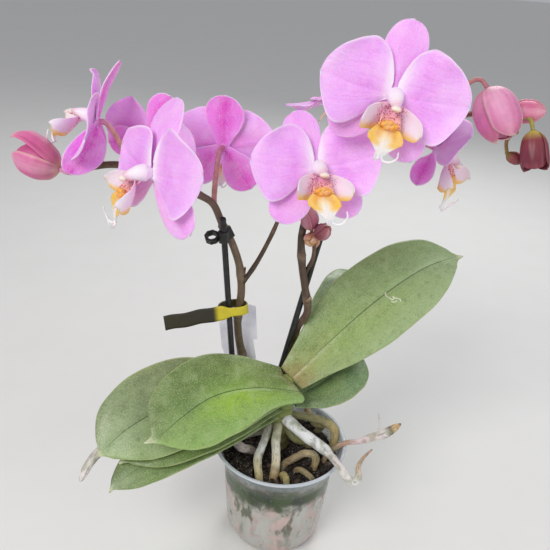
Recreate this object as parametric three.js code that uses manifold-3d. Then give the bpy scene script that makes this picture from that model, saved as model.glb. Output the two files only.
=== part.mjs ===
// A potted moth orchid: a clear nursery pot with bark, a short stem with leaves and
// aerial roots, and two flower spikes on stakes. Millimetres, +Z up, origin at the
// middle of the pot's flat base. The plant's front faces -Y.

import * as THREE from 'three';
import { mergeVertices } from 'three/addons/utils/BufferGeometryUtils.js';
import Module from 'manifold-3d';

const wasm = await Module();
wasm.setup();

// ---------------------------------------------------------------- driving dimensions

const gap = 0.3;                    // clearance between pieces that touch
const potRimRadius = 45;            // outer edge of the lip
const potHeight = 77;
const potBaseRadius = 27;
const potWall = 1.2;
const potFloor = 1.6;
const potSides = 24;
const heelShare = 0.16;             // the rounded heel's height, as a share of the pot
const collarStart = 0.74;           // where the collar starts, likewise
const drainSlots = 6;
const mediumTop = 67;
const stakeRadius = 1.9;
const leafThickness = 1.9;
const tepalThickness = 0.8;
const lipThickness = 0.8;
const strapThickness = 0.8;
const cirrusRadius = 0.55;
const coreRadius = 3.0;             // where a flower's tepals meet
const coreFlatness = 0.75;          // how deep that core is, as a share of its width

const colours = {
  pot: 0xb9bdb6,
  bark: 0x2b211b,
  stem: 0x6f7a45,
  spike: 0x6a5138,
  stake: 0x141516,
  strap: 0x2c2a1c,
  tag: 0xe9ecef,
  leaf: 0x6f9152,
  youngLeaf: 0x86ad52,
  root: 0xb3ab98,
  tanRoot: 0xb29a6c,
  tepal: 0xd79ad8,
  tepalBack: 0xc56fb4,
  lip: 0xf6ead9,
  bud: 0xb4677c,
  darkBud: 0x7d4a4c,
};

// ---------------------------------------------------------------- small helpers

const { PI, sin, cos, pow, sqrt, abs, min, max } = Math;

function vec(point) {
  return new THREE.Vector3(...point);
}

function random(seed) {
  let state = seed * 7919 + 17;
  return () => {
    state = (state * 16807) % 2147483647;
    return state / 2147483647;
  };
}

// A smooth value along t from [t, value] pairs.
function blend(pairs, t) {
  let i = 0;
  while (i < pairs.length - 2 && t > pairs[i + 1][0]) i++;
  const [t0, v0] = pairs[i];
  const [t1, v1] = pairs[i + 1];
  const x = min(1, max(0, (t - t0) / (t1 - t0)));
  return v0 + (v1 - v0) * x * x * (3 - 2 * x);
}

function closedGeometry(points, faces) {
  const geometry = new THREE.BufferGeometry();
  const flat = points.flatMap((p) => [p.x, p.y, p.z]);
  geometry.setAttribute('position', new THREE.Float32BufferAttribute(flat, 3));
  geometry.setIndex(faces.flat());
  return geometry;
}

function toSolid(geometry) {
  const bare = geometry.clone();
  bare.deleteAttribute('normal');
  bare.deleteAttribute('uv');
  const merged = mergeVertices(bare, 1e-4);
  return new wasm.Manifold(new wasm.Mesh({
    numProp: 3,
    vertProperties: new Float32Array(merged.attributes.position.array),
    triVerts: new Uint32Array(merged.index.array),
  }));
}

// The largest body of a solid, as a geometry: scraps that a cut leaves are dropped.
function fromSolid(solid) {
  const bodies = solid.decompose();
  bodies.sort((a, b) => b.volume() - a.volume());
  const { vertProperties, triVerts } = bodies[0].getMesh();
  const geometry = new THREE.BufferGeometry();
  geometry.setAttribute('position', new THREE.BufferAttribute(new Float32Array(vertProperties), 3));
  geometry.setIndex(new THREE.BufferAttribute(new Uint32Array(triVerts), 1));
  return geometry;
}

function join(geometries) {
  return geometries.map(toSolid).reduce((whole, part) => whole.add(part));
}

function cut(geometry, cutters) {
  return cutters.map(toSolid).reduce((whole, part) => whole.subtract(part), toSolid(geometry));
}

// ---------------------------------------------------------------- shape builders

// A thin closed blade from its middle surface: surface(t, s), t along and s across.
function blade(surface, rows, columns, thickness) {
  const points = [];
  const step = 1e-3;
  for (const face of [1, -1]) {
    for (let i = 0; i <= rows; i++) {
      for (let j = 0; j <= columns; j++) {
        const t = i / rows;
        const s = (2 * j) / columns - 1;
        const along = surface(min(1, t + step), s).sub(surface(max(0, t - step), s));
        const across = surface(t, min(1, s + step)).sub(surface(t, max(-1, s - step)));
        const normal = along.cross(across).normalize();
        points.push(surface(t, s).addScaledVector(normal, (-face * thickness) / 2));
      }
    }
  }
  const wide = columns + 1;
  const lower = wide * (rows + 1);
  const faces = [];
  for (let i = 0; i < rows; i++) {
    for (let j = 0; j < columns; j++) {
      const a = i * wide + j;
      faces.push([a, a + 1, a + wide + 1], [a, a + wide + 1, a + wide]);
      const b = a + lower;
      faces.push([b, b + wide + 1, b + 1], [b, b + wide, b + wide + 1]);
    }
  }
  const rim = [];
  for (let j = 0; j < columns; j++) rim.push(j);
  for (let i = 0; i < rows; i++) rim.push(i * wide + columns);
  for (let j = columns; j > 0; j--) rim.push(rows * wide + j);
  for (let i = rows; i > 0; i--) rim.push(i * wide);
  rim.forEach((a, k) => {
    const b = rim[(k + 1) % rim.length];
    faces.push([a, a + lower, b + lower], [a, b + lower, b]);
  });
  return closedGeometry(points, faces);
}

// A closed round bar along a smooth curve; radius(t) gives its thickness.
function bar(route, radius, sides, steps) {
  const curve = new THREE.CatmullRomCurve3(route.map(vec), false, 'centripetal');
  const frames = curve.computeFrenetFrames(steps, false);
  const points = [];
  for (let i = 0; i <= steps; i++) {
    const middle = curve.getPointAt(i / steps);
    for (let k = 0; k < sides; k++) {
      const turn = (2 * PI * k) / sides;
      const r = radius(i / steps);
      points.push(middle.clone()
        .addScaledVector(frames.normals[i], r * cos(turn))
        .addScaledVector(frames.binormals[i], r * sin(turn)));
    }
  }
  const faces = [];
  for (let i = 0; i < steps; i++) {
    for (let k = 0; k < sides; k++) {
      const a = i * sides + k;
      const b = i * sides + ((k + 1) % sides);
      faces.push([a, b, b + sides], [a, b + sides, a + sides]);
    }
  }
  const first = points.push(curve.getPointAt(0)) - 1;
  const last = points.push(curve.getPointAt(1)) - 1;
  for (let k = 0; k < sides; k++) {
    const next = (k + 1) % sides;
    faces.push([first, next, k], [last, steps * sides + k, steps * sides + next]);
  }
  return closedGeometry(points, faces);
}

// A closed ovoid from base to tip: profile(t) is its radius, lobes its three sepals.
function ovoid(base, tip, profile, lobes, sides, rings) {
  const axis = vec(tip).sub(vec(base));
  const turnTo = new THREE.Quaternion().setFromUnitVectors(
    new THREE.Vector3(0, 0, 1), axis.clone().normalize());
  const points = [vec(base)];
  const faces = [];
  for (let i = 1; i < rings; i++) {
    const t = i / rings;
    for (let k = 0; k < sides; k++) {
      const turn = (2 * PI * k) / sides;
      const r = profile(t) * (1 + lobes * cos(3 * turn) * t);
      const point = new THREE.Vector3(r * cos(turn), r * sin(turn), t * axis.length());
      points.push(point.applyQuaternion(turnTo).add(vec(base)));
    }
  }
  const last = points.push(vec(tip)) - 1;
  for (let k = 0; k < sides; k++) {
    const next = (k + 1) % sides;
    faces.push([0, 1 + next, 1 + k]);
    for (let i = 0; i < rings - 2; i++) {
      const a = 1 + i * sides + k;
      const b = 1 + i * sides + next;
      faces.push([a, b, b + sides], [a, b + sides, a + sides]);
    }
    const top = 1 + (rings - 2) * sides;
    faces.push([last, top + k, top + next]);
  }
  return closedGeometry(points, faces);
}

const group = new THREE.Group();

function piece(name, geometry, colour, roughness = 0.6, metalness = 0) {
  const material = new THREE.MeshStandardMaterial({ color: colour, roughness, metalness });
  const mesh = new THREE.Mesh(geometry, material);
  mesh.name = name;
  group.add(mesh);
  return mesh;
}

// ---------------------------------------------------------------- pot and bark

// The wall's outer radius at a height: a rounded heel, a slow taper, a flared collar.
function potRadius(z) {
  const share = z / potHeight;
  const heel = 5.2 * (1 - sqrt(1 - pow(max(0, 1 - share / heelShare), 2)));
  const body = potBaseRadius + 5.2 - heel + 6 * pow(share, 0.7);
  return body + 6.4 * pow(max(0, (share - collarStart) / (1 - collarStart)), 1.25);
}

function pot() {
  const heights = [0, 1.2, 3, 6, 12, 52, 57, 63, 70];
  const outside = heights.map((z) => new THREE.Vector2(potRadius(z), z));
  const lip = [
    new THREE.Vector2(potRimRadius, potHeight - 0.6),
    new THREE.Vector2(potRimRadius - 0.3, potHeight),
    new THREE.Vector2(potRimRadius - 2.2, potHeight),
  ];
  const inside = [70, 63, 57, 52, 12, 6]
    .map((z) => new THREE.Vector2(potRadius(z) - potWall, z));
  const profile = [new THREE.Vector2(0, 0), ...outside, ...lip, ...inside,
    new THREE.Vector2(potRadius(3) - potWall, potFloor), new THREE.Vector2(0, potFloor)];
  const body = new THREE.LatheGeometry(profile, potSides);
  body.rotateX(PI / 2);
  const slots = [];
  for (let k = 0; k < drainSlots; k++) {
    const slot = new THREE.BoxGeometry(7, 4.2, 6);
    slot.translate(potBaseRadius + 3.5, 0, 0.4);
    slot.rotateZ((2 * PI * (k + 0.25)) / drainSlots);
    slots.push(slot);
  }
  return cut(body, slots);
}

// Bark fills the pot; its top is a field of chips, raised by a seeded rule.
function barkTop(x, y) {
  const chip = sin(x * 0.62 + 1.3) * cos(y * 0.71 + 0.4) + 0.6 * sin(x * 1.13 - y * 0.94);
  return mediumTop - 1.2 + 1.0 * chip;
}

function bark() {
  const heights = [potFloor + gap, 6, 12, 52];
  const sides = 16;
  const rings = [33, 22, 11];
  const points = [new THREE.Vector3(0, 0, heights[0])];
  const faces = [];
  const layers = [];
  const addRing = (radius, height) => {
    layers.push(points.length);
    for (let k = 0; k < sides; k++) {
      const turn = (2 * PI * k) / sides;
      const x = radius * cos(turn);
      const y = radius * sin(turn);
      points.push(new THREE.Vector3(x, y, height(x, y)));
    }
  };
  const shrink = cos(PI / potSides) * cos(PI / sides);
  heights.forEach((z, i) => {
    const radius = i === 0 ? potRadius(3) : potRadius(z);
    addRing((radius - potWall - gap) * shrink, () => z);
  });
  rings.forEach((r) => addRing(r, barkTop));
  const peak = points.push(new THREE.Vector3(0, 0, barkTop(0, 0))) - 1;
  for (let k = 0; k < sides; k++) {
    const next = (k + 1) % sides;
    faces.push([0, layers[0] + next, layers[0] + k]);
    for (let i = 0; i < layers.length - 1; i++) {
      const [a, b] = [layers[i], layers[i + 1]];
      faces.push([a + k, a + next, b + next], [a + k, b + next, b + k]);
    }
    const top = layers[layers.length - 1];
    faces.push([peak, top + k, top + next]);
  }
  return closedGeometry(points, faces);
}

// ---------------------------------------------------------------- stem, roots, stakes

const stemRoute = [[-1, 6, 58], [-1, 6, 80], [0, 7, 100], [0, 8, 117]];

function stemRadius(t) {
  return 5.6 + 1.6 * sin(PI * min(1, 0.25 + 0.7 * t));
}

const roots = [
  { name: 'root_silver', colour: colours.root, radius: [[0, 3.9], [0.35, 3.6], [0.42, 2.3], [1, 2.1]],
    route: [[3, 2, 91], [15, -6, 86], [26, -12, 82.5], [32, -18, 81.5], [38, -29, 82], [43, -34, 78],
      [47.5, -34.5, 75], [50.5, -31, 76], [51, -24, 78], [55, -16, 79], [61, -9, 80]] },
  { name: 'root_front', colour: colours.root, radius: [[0, 3.1], [1, 2.6]],
    route: [[-2, 0, 87], [-3, -10, 81], [-2, -20, 74], [-3, -28, 62]] },
  { name: 'root_front_left', colour: colours.root, radius: [[0, 2.6], [1, 2.9]],
    route: [[-7, 3, 86], [-11, -9, 79], [-14, -16, 71.5], [-13, -25, 69], [-11, -31, 61]] },
  { name: 'root_left', colour: colours.root, radius: [[0, 2.5], [0.6, 3.1], [1, 2.4]],
    route: [[-6, 5, 78], [-19, 4, 75.5], [-30, -3, 74], [-25, -9, 73], [-19, -6, 69], [-16, -3, 60]] },
  { name: 'root_green', colour: colours.tanRoot, radius: [[0, 2.8], [1, 2.6]],
    route: [[3, 3, 84], [10, 0, 77], [18, 4, 70], [24, 8, 60]] },
  { name: 'root_curly', colour: colours.tanRoot, radius: [[0, 2.3], [0.6, 2.5], [1, 2.0]],
    route: [[1, -19, 62], [4, -17.5, 70], [10, -14.5, 72.5], [17, -11, 74], [24, -11, 72.5], [24, -16, 70],
      [22, -17.5, 61]] },
  { name: 'root_loop', colour: colours.tanRoot, radius: [[0, 2], [1, 1.8]],
    route: [[11, -20, 61], [13, -21, 69], [17.5, -25, 70.5], [21.5, -26.5, 68.5], [22.5, -24.5, 61]] },
  { name: 'root_stub', colour: colours.tanRoot, radius: [[0, 1.9], [0.6, 2], [1, 1.5]],
    route: [[1, -25, 61], [3, -26, 68.5], [5, -30, 69.5], [5.5, -34, 66], [5.5, -35, 61]] },
  { name: 'root_back_right', colour: colours.tanRoot, radius: [[0, 2.4], [1, 2.5]],
    route: [[18, 26, 82], [21, 22, 78], [25.5, 19.5, 74.5], [29, 19.5, 74], [29, 22, 70],
      [24.5, 21.5, 61]] },
  { name: 'root_right', colour: colours.tanRoot, radius: [[0, 2.4], [0.5, 3], [1, 2.6]],
    route: [[5, 11, 88], [18, 16, 83], [32, 15, 80], [37.5, 11, 77], [37, 4, 71], [33, 2, 60]] },
  { name: 'root_free_right', colour: colours.root, radius: [[0, 2], [0.55, 1.9], [0.75, 3.2], [1, 2.6]],
    route: [[29, -8, 60], [32, -7, 70], [38, -6, 77.5], [45, -5, 81], [53, -3, 81], [62, 2, 81],
      [70, 4, 83], [77, 8, 85], [82, 12, 86]] },
  { name: 'root_far_left', colour: colours.root, radius: [[0, 2.6], [0.5, 2.8], [0.85, 3.1], [1, 2.0]],
    route: [[-5, 9, 84], [-30, 4, 83], [-62, -3, 85], [-95, -17, 84], [-111, -30, 83], [-117, -40, 80],
      [-120, -50, 75]] },
];

const stakes = {
  stake_left: [[-29, 13, 54], [-46, 17, 226]],
  stake_right: [[-15, 22, 52], [14.5, 26, 216]],
};

function straightBar(ends, radius, sides) {
  return bar([ends[0], ends[1]], () => radius, sides, 1);
}

function rootBar(root, extra = 0) {
  const steps = Math.ceil(1.45 * (root.route.length - 1));
  return bar(root.route, (t) => blend(root.radius, t) + extra, 6, steps);
}

function stemBar(extra = 0) {
  return bar(stemRoute, (t) => stemRadius(t) + extra, 8, 5);
}

// ---------------------------------------------------------------- leaves

// rib: the midrib's route. side: towards the upper margin, at the base and at the tip.
const leafOutline = [[0, 0.36], [0.12, 0.54], [0.3, 0.84], [0.5, 1], [0.7, 0.95], [0.88, 0.66], [1, 0.12]];

const leaves = [
  { name: 'leaf_front_left', colour: colours.youngLeaf, width: 54, fold: 0.16, wrap: 15,
    rib: [[-1, 4, 120], [-25, -7, 122], [-45, -22, 123], [-60, -39, 120], [-73, -56, 115]],
    side: [[-0.1, 0.85, 0.5], [-0.3, 0.8, 0.5]] },
  { name: 'leaf_far_left', colour: colours.leaf, width: 58, fold: 0.14, wrap: 0,
    rib: [[-4, 8, 109], [-36, -9, 113], [-66, -20, 115], [-92, -38, 108], [-107, -52, 98]],
    side: [[-0.2, 0.85, 0.45], [-0.4, 0.7, 0.6]] },
  { name: 'leaf_middle_left', colour: colours.leaf, width: 44, fold: 0.12, wrap: 0,
    rib: [[-4, 6, 102], [-30, -9, 104], [-57, -24, 102], [-80, -38, 97], [-94, -48, 91]],
    side: [[-0.3, 0.85, 0.3], [-0.4, 0.8, 0.4]] },
  { name: 'leaf_low_left', colour: colours.leaf, width: 32, fold: 0.12, wrap: 0,
    rib: [[-4, 5, 95], [-30, -11, 95], [-56, -27, 93], [-80, -44, 88], [-99, -61, 81]],
    side: [[-0.3, 0.85, 0.3], [-0.4, 0.8, 0.4]] },
  { name: 'leaf_right', colour: colours.leaf, width: 56, fold: 0.1, wrap: 0,
    rib: [[4, 8, 120], [31, 23, 146], [60, 40, 169], [90, 56, 186], [113, 66, 192]],
    side: [[-0.3, 0.4, 0.86], [-0.55, 0.6, 0.5]] },
  { name: 'leaf_back', colour: colours.leaf, width: 44, fold: 0.1, wrap: 0,
    rib: [[7, 13, 115], [25.5, 35, 130], [37, 60, 145], [47, 87, 154], [55, 109, 153]],
    side: [[-0.8, 0.3, 0.3], [-0.85, 0.3, 0.3]] },
  { name: 'leaf_low_right', colour: colours.leaf, width: 44, fold: 0.12, wrap: 0,
    rib: [[5, 9, 103], [20, 17, 107], [32, 25, 112], [43, 34, 117], [53, 43, 120]],
    side: [[-0.3, 0.85, 0.3], [-0.5, 0.8, 0.25]] },
];

const claspWay = new THREE.Vector3(0.84, -0.5, -0.2);

function leafSurface(leaf) {
  const rib = new THREE.CatmullRomCurve3(leaf.rib.map(vec), false, 'centripetal');
  const [first, last] = leaf.side.map(vec);
  return (t, s) => {
    const u = min(1, max(0, t));
    const tangent = rib.getTangentAt(u);
    const side = first.clone().lerp(last, u);
    side.addScaledVector(tangent, -side.dot(tangent)).normalize();
    const normal = side.clone().cross(tangent).normalize();
    if (normal.z < 0) normal.negate();
    const half = (leaf.width / 2) * blend(leafOutline, u);
    const wave = 0.03 * sin(9 * u + 2 * s) * half * s * s;
    const rise = leaf.fold * half * abs(s) - 0.1 * half * s * s + wave;
    const clasp = leaf.wrap * max(0, 1 - 1.7 * pow(s + 0.35, 2)) * pow(1 - u, 5);
    return rib.getPointAt(u)
      .addScaledVector(side, half * s)
      .addScaledVector(normal, rise)
      .addScaledVector(claspWay, clasp);
  };
}

function leafBlade(leaf) {
  const surface = leafSurface(leaf);
  const along = vec(leaf.rib[2]).sub(vec(leaf.rib[0]));
  const facing = along.cross(vec(leaf.side[0]));
  const outward = facing.z > 0 ? surface : (t, s) => surface(t, -s);
  return blade(outward, 9, 4, leafThickness);
}

// ---------------------------------------------------------------- flowers

const petalOutline = [[0, 0.16], [0.1, 0.42], [0.25, 0.8], [0.45, 1], [0.65, 0.97], [0.84, 0.72],
  [1, 0.2]];
const sepalOutline = [[0, 0.36], [0.15, 0.6], [0.4, 0.98], [0.6, 1], [0.8, 0.74], [1, 0.16]];

// A flower's own frame: x to its left as seen from the front, y to its top, z forwards.
function flowerFrame(flower) {
  const z = vec(flower.face).normalize();
  const y = new THREE.Vector3(0, 0, 1);
  if (abs(z.z) > 0.95) y.set(0, -1, 0);
  y.addScaledVector(z, -y.dot(z)).normalize();
  const x = y.clone().cross(z);
  const spin = new THREE.Matrix4().makeRotationZ((flower.roll * PI) / 180);
  return new THREE.Matrix4().makeBasis(x, y, z).setPosition(vec(flower.at)).multiply(spin);
}

// A tepal at an angle from the top: reach from the centre, width, how it bends, and how far
// it turns about its own length.
function tepal({ turn, reach, width, outline, lift, bend, cup, wave, twist }, rows, columns) {
  const out = new THREE.Vector3(sin(turn), cos(turn), 0);
  const side = new THREE.Vector3(cos(turn), -sin(turn), 0);
  const front = new THREE.Vector3(0, 0, 1);
  const root = 1.2;
  const surface = (t, s) => {
    const half = (width / 2) * blend(outline, t);
    const height = cup * s * s * half + wave * sin(7 * t + 3 * s) * s * s * half;
    const angle = twist * blend([[0, 0.1], [0.35, 1], [1, 1]], t);
    return out.clone().multiplyScalar(root + (reach - root) * t)
      .addScaledVector(front, lift + bend * t * t * reach)
      .addScaledVector(side, half * s * cos(angle) + height * sin(angle))
      .addScaledVector(front, height * cos(angle) - half * s * sin(angle));
  };
  return blade((t, s) => surface(t, -s), rows, columns, tepalThickness);
}

function tepals(flower) {
  const draw = random(flower.seed);
  const vary = (amount) => amount * (draw() - 0.5);
  const list = flower.turns.map((degrees, i) => {
    const turn = ((degrees + vary(2)) * PI) / 180;
    const bend = flower.sweep[i] + vary(0.04);
    const twist = (flower.twist[i] * PI) / 180;
    const w = flower.width * flower.size[i];
    const petal = { turn, bend, twist, reach: 0.52 * w, width: 0.6 * w, outline: petalOutline,
      lift: 0.9, cup: 0.12, wave: 0.1 };
    const sepal = { turn, bend, twist, reach: 0.49 * w, width: 0.3 * w * flower.broad,
      outline: sepalOutline, lift: -0.7, cup: -0.1, wave: 0.04 };
    return i < 2 ? tepal(petal, 4, 4) : tepal(sepal, 4, 2);
  });
  const core = new THREE.SphereGeometry(coreRadius, 6, 3);
  core.scale(1, 1, coreFlatness);
  list.push(core);
  return fromSolid(join(list)).applyMatrix4(flowerFrame(flower));
}

// The lip's own frame in the flower's, and how far its foot stands off the core there.
function lipPlace({ yaw, pitch, roll }) {
  const [aside, up, round] = [yaw, pitch, roll].map((degrees) => (degrees * PI) / 180);
  const turned = new THREE.Matrix4().makeRotationY(aside)
    .multiply(new THREE.Matrix4().makeRotationX(-up))
    .multiply(new THREE.Matrix4().makeRotationZ(round));
  const forward = cos(aside) * cos(up);
  const core = coreRadius / sqrt(1 - forward * forward + pow(forward / coreFlatness, 2));
  return { turned, foot: core + gap };
}

// The lip with the column over it: two side lobes, a middle lobe, the callus between
// them and the two curled cirri at its tip.
function lip(flower) {
  const { size, swing } = flower.lip;
  const { turned, foot } = lipPlace(flower.lip);
  const k = (size * flower.width) / 70;
  const at = (x, y, z) => [k * x, k * y, foot + k * (z - 3)];
  const list = [];
  const column = [at(0, 0.2, 3), at(0, -1, 6.4), at(0, -2.8, 10), at(0, -4.6, 13)];
  list.push(bar(column, (t) => k * blend([[0, 1.1], [0.3, 2.7], [0.7, 3.3], [1, 2.2]], t), 4, 2));
  list.push(bar([at(0, -1.5, 5), at(0, -8, 7), at(0, -15.5, 11)],
    (t) => k * blend([[0, 1.4], [0.4, 3], [1, 3.8]], t), 4, 2));
  for (const sign of [1, -1]) {
    const lobe = (t, s) => {
      const half = blend([[0, 6.9], [0.3, 6.5], [0.65, 5.4], [0.9, 4], [1, 2.4]], t);
      const x = sign * (2.8 + 11.2 * (1 - pow(1 - t, 1.7)) - 0.09 * half * s * s);
      const y = -12.6 - 4 * pow(t, 1.3) + s * half;
      const z = 7.4 + 9.8 * pow(t, 1.5) + 0.8 * s * t;
      return vec(at(x, y, z));
    };
    list.push(blade((t, s) => lobe(t, sign * s), 3, 2, lipThickness));
  }
  const middle = (t, s) => {
    const half = blend([[0, 4.6], [0.27, 9], [0.42, 8.2], [0.6, 5], [0.8, 2.5], [1, 1.2]], t);
    const y = -16.4 - 15 * t;
    const z = 10.5 + 6 * t - 6.5 * t * t + 0.24 * half * s * s;
    return vec(at(s * half + swing * t * t, y, z));
  };
  list.push(blade(middle, 4, 2, lipThickness));
  list.push(new THREE.SphereGeometry(2.6 * k, 5, 3).translate(...at(0, -15.6, 12)));
  for (const [sign, wide] of [[1, 1], [-1, 0.55]]) {
    const cirrus = [at(sign * 0.5 + swing, -31, 10.2), at(sign * 2.4 * wide + swing, -32.6, 11),
      at(sign * 5.4 * wide + swing, -32, 13), at(sign * 7 * wide + swing, -29, 15.4),
      at(sign * 6.2 * wide + swing, -26.4, 17)];
    list.push(bar(cirrus, (t) => cirrusRadius * (1.15 - 0.35 * t), 3, 3));
  }
  return fromSolid(join(list)).applyMatrix4(turned).applyMatrix4(flowerFrame(flower));
}

// turns: degrees from the top of the right petal, the left petal, the dorsal sepal and
// the two lower sepals. sweep, size, twist: how far each of them bends forwards, its size
// and how far it turns about its own length. broad: how wide the sepals are. lip: how far
// it is turned aside, up and round, and how far its tip swings aside.
const flatSweep = [0.06, 0.06, 0.02, 0, 0];
const evenSize = [1, 1, 1, 1, 1];
const noTwist = [0, 0, 0, 0, 0];
const straightLip = { size: 1, yaw: 0, pitch: 0, roll: 0, swing: 0 };

const flowers = [
  { name: 'bloom_top_right', at: [37, -24, 311], face: [-0.16, -0.98, 0.12], roll: -11, width: 69,
    turns: [89, -90, -3, 147, -135], sweep: flatSweep, size: evenSize, twist: noTwist, broad: 1,
    lip: { ...straightLip, yaw: 16, swing: 1 }, seed: 1, back: false },
  { name: 'bloom_centre', at: [5, -13, 269], face: [-0.05, -0.95, 0.32], roll: 22, width: 66,
    turns: [101, -68, -6, 155, -126], sweep: [0.06, 0.06, -0.2, 0, 0], size: [1, 1, 1, 1, 1.08],
    twist: noTwist, broad: 1,
    lip: { size: 1.04, yaw: 18, pitch: 0, roll: -17, swing: 5 }, seed: 2, back: false },
  { name: 'bloom_front_left', at: [-78, -26, 263], face: [-0.66, -0.72, 0.2], roll: -20, width: 71,
    turns: [66, -101, -26, 106, -143], sweep: [-0.05, -0.05, -0.28, -0.05, -0.05],
    size: [1, 0.84, 1.12, 1.12, 1], twist: noTwist, broad: 1,
    lip: { size: 1.04, yaw: -20, pitch: 0, roll: 6, swing: 0 }, seed: 3, back: false },
  { name: 'bloom_far_left', at: [-118, 14, 278], face: [-0.99, -0.06, 0.08], roll: 0, width: 62,
    turns: [100, -60, -8, 141, -152], sweep: [-0.1, 0.1, -0.28, 0.42, 0],
    size: [1, 1, 1.12, 1.08, 1], twist: [-16, 0, 0, 58, 0], broad: 1.05,
    lip: { size: 1, yaw: 0, pitch: 37, roll: 0, swing: -7 }, seed: 4, back: false },
  { name: 'bloom_back_left', at: [-92, 30, 268], face: [0.3, 0.94, 0.1], roll: 36, width: 58,
    turns: [124, -86, 0, 143, -143], sweep: flatSweep, size: [1.04, 1, 1.06, 1, 1],
    twist: noTwist, broad: 1.1, lip: straightLip, seed: 5, back: true },
  { name: 'bloom_back_centre', at: [-51, 54, 259], face: [0.1, 0.98, 0.1], roll: 5, width: 65,
    turns: [88, -76, 0, 139, -137], sweep: [-0.08, -0.08, -0.05, -0.05, -0.05],
    size: [1, 1, 1.04, 1, 1], twist: noTwist, broad: 1.22,
    lip: { ...straightLip, pitch: -10 }, seed: 6, back: true },
  { name: 'bloom_right', at: [74.5, 24, 275], face: [0.85, -0.35, -0.3], roll: 0, width: 52,
    turns: [76, -52, 0, 143, -150], sweep: [0.35, 0.5, 0.5, 0.2, 0.05],
    size: [1, 1, 0.75, 1, 1.1], twist: [0, 0, 0, 0, -55], broad: 1.15,
    lip: { size: 1.3, yaw: -10, pitch: 8, roll: 0, swing: 0 }, seed: 7, back: false },
  { name: 'bloom_hidden', at: [17, 57, 293], face: [0.1, -0.15, -0.98], roll: 180, width: 60,
    turns: [94, -94, 0, 143, -143], sweep: flatSweep, size: evenSize, twist: noTwist, broad: 1,
    lip: straightLip, seed: 8, back: true },
];

// ---------------------------------------------------------------- spikes and buds

const buds = [
  { name: 'bud_left', base: [-137, 4, 252.5], tip: [-163, 9, 263], radius: 10, colour: colours.bud },
  { name: 'bud_right_large', base: [99, 35, 309], tip: [112, 23, 284],
    radius: 12.6, colour: colours.bud },
  { name: 'bud_right_back', base: [118, 44, 296], tip: [137, 40, 298], radius: 6.5, colour: colours.bud },
  { name: 'bud_right_dark', base: [129, 31, 288], tip: [132, 22, 268],
    radius: 7.8, colour: colours.darkBud },
  { name: 'bud_right_small', base: [118.5, 34.3, 273], tip: [127, 31.3, 269.5],
    radius: 3.4, colour: colours.darkBud },
  { name: 'bud_twig_upper', base: [7, 10, 226], tip: [3, 6, 240], radius: 5, colour: colours.darkBud },
  { name: 'bud_twig_right', base: [11, 9, 222], tip: [16, 2, 231], radius: 4.4, colour: colours.darkBud },
  { name: 'bud_twig_lower', base: [8, 12, 219], tip: [6, 3, 221], radius: 3.6, colour: colours.darkBud },
];

function budProfile(radius, t) {
  return radius * blend([[0, 0], [0.12, 0.55], [0.45, 1], [0.75, 0.86], [1, 0]], t);
}

function budBody(bud, extra = 0) {
  const axis = vec(bud.tip).sub(vec(bud.base)).normalize().multiplyScalar(extra);
  const base = vec(bud.base).sub(axis);
  const tip = vec(bud.tip).add(axis);
  return ovoid(base.toArray(), tip.toArray(), (t) => budProfile(bud.radius + extra, t), 0.07, 9, 6);
}

// Each stretch is a route with the radius at its start and end.
const mainSteps = 19;

const leftSpike = [
  { from: 2.9, to: 1.9, sides: 6,
    route: [[-4, 13, 90], [-12, 17.5, 96], [-24, 22, 110], [-31, 23.8, 128], [-34.5, 23, 152],
      [-33, 21.5, 175], [-34.5, 21.5, 191], [-40, 22.5, 207], [-47, 23, 220], [-53, 23, 232],
      [-61, 20, 238], [-74, 16, 247], [-90, 14, 253], [-108, 11, 255], [-120, 8, 254]] },
  { from: 1.9, to: 1.4, sides: 5,
    route: [[-118, 8.5, 254], [-127, 6, 251], [-133, 4.5, 250.5], [-136.5, 4, 252]] },
  { from: 1.6, to: 1.2, sides: 5,
    route: [[-33, 21, 180], [-24, 20, 197], [-16, 21, 216], [-11, 22, 231]] },
  { from: 1.5, to: 1.4, sides: 5, route: [[-84, 15, 251], [-83, 4, 256], [-79, -10, 262]], bloom: 2 },
  { from: 1.5, to: 1.4, sides: 5, bloom: 3, straight: 5,
    route: [[-102, 11.5, 254], [-102.5, 12, 260], [-106, 13, 269], [-110, 13, 274]] },
  { from: 1.5, to: 1.4, sides: 5, route: [[-92, 14, 253], [-94, 20, 262], [-97, 27, 275]], bloom: 4 },
  { from: 1.6, to: 1.5, sides: 5, route: [[-52, 23, 231], [-53, 30, 236], [-53, 42, 249]], bloom: 5 },
];

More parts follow.
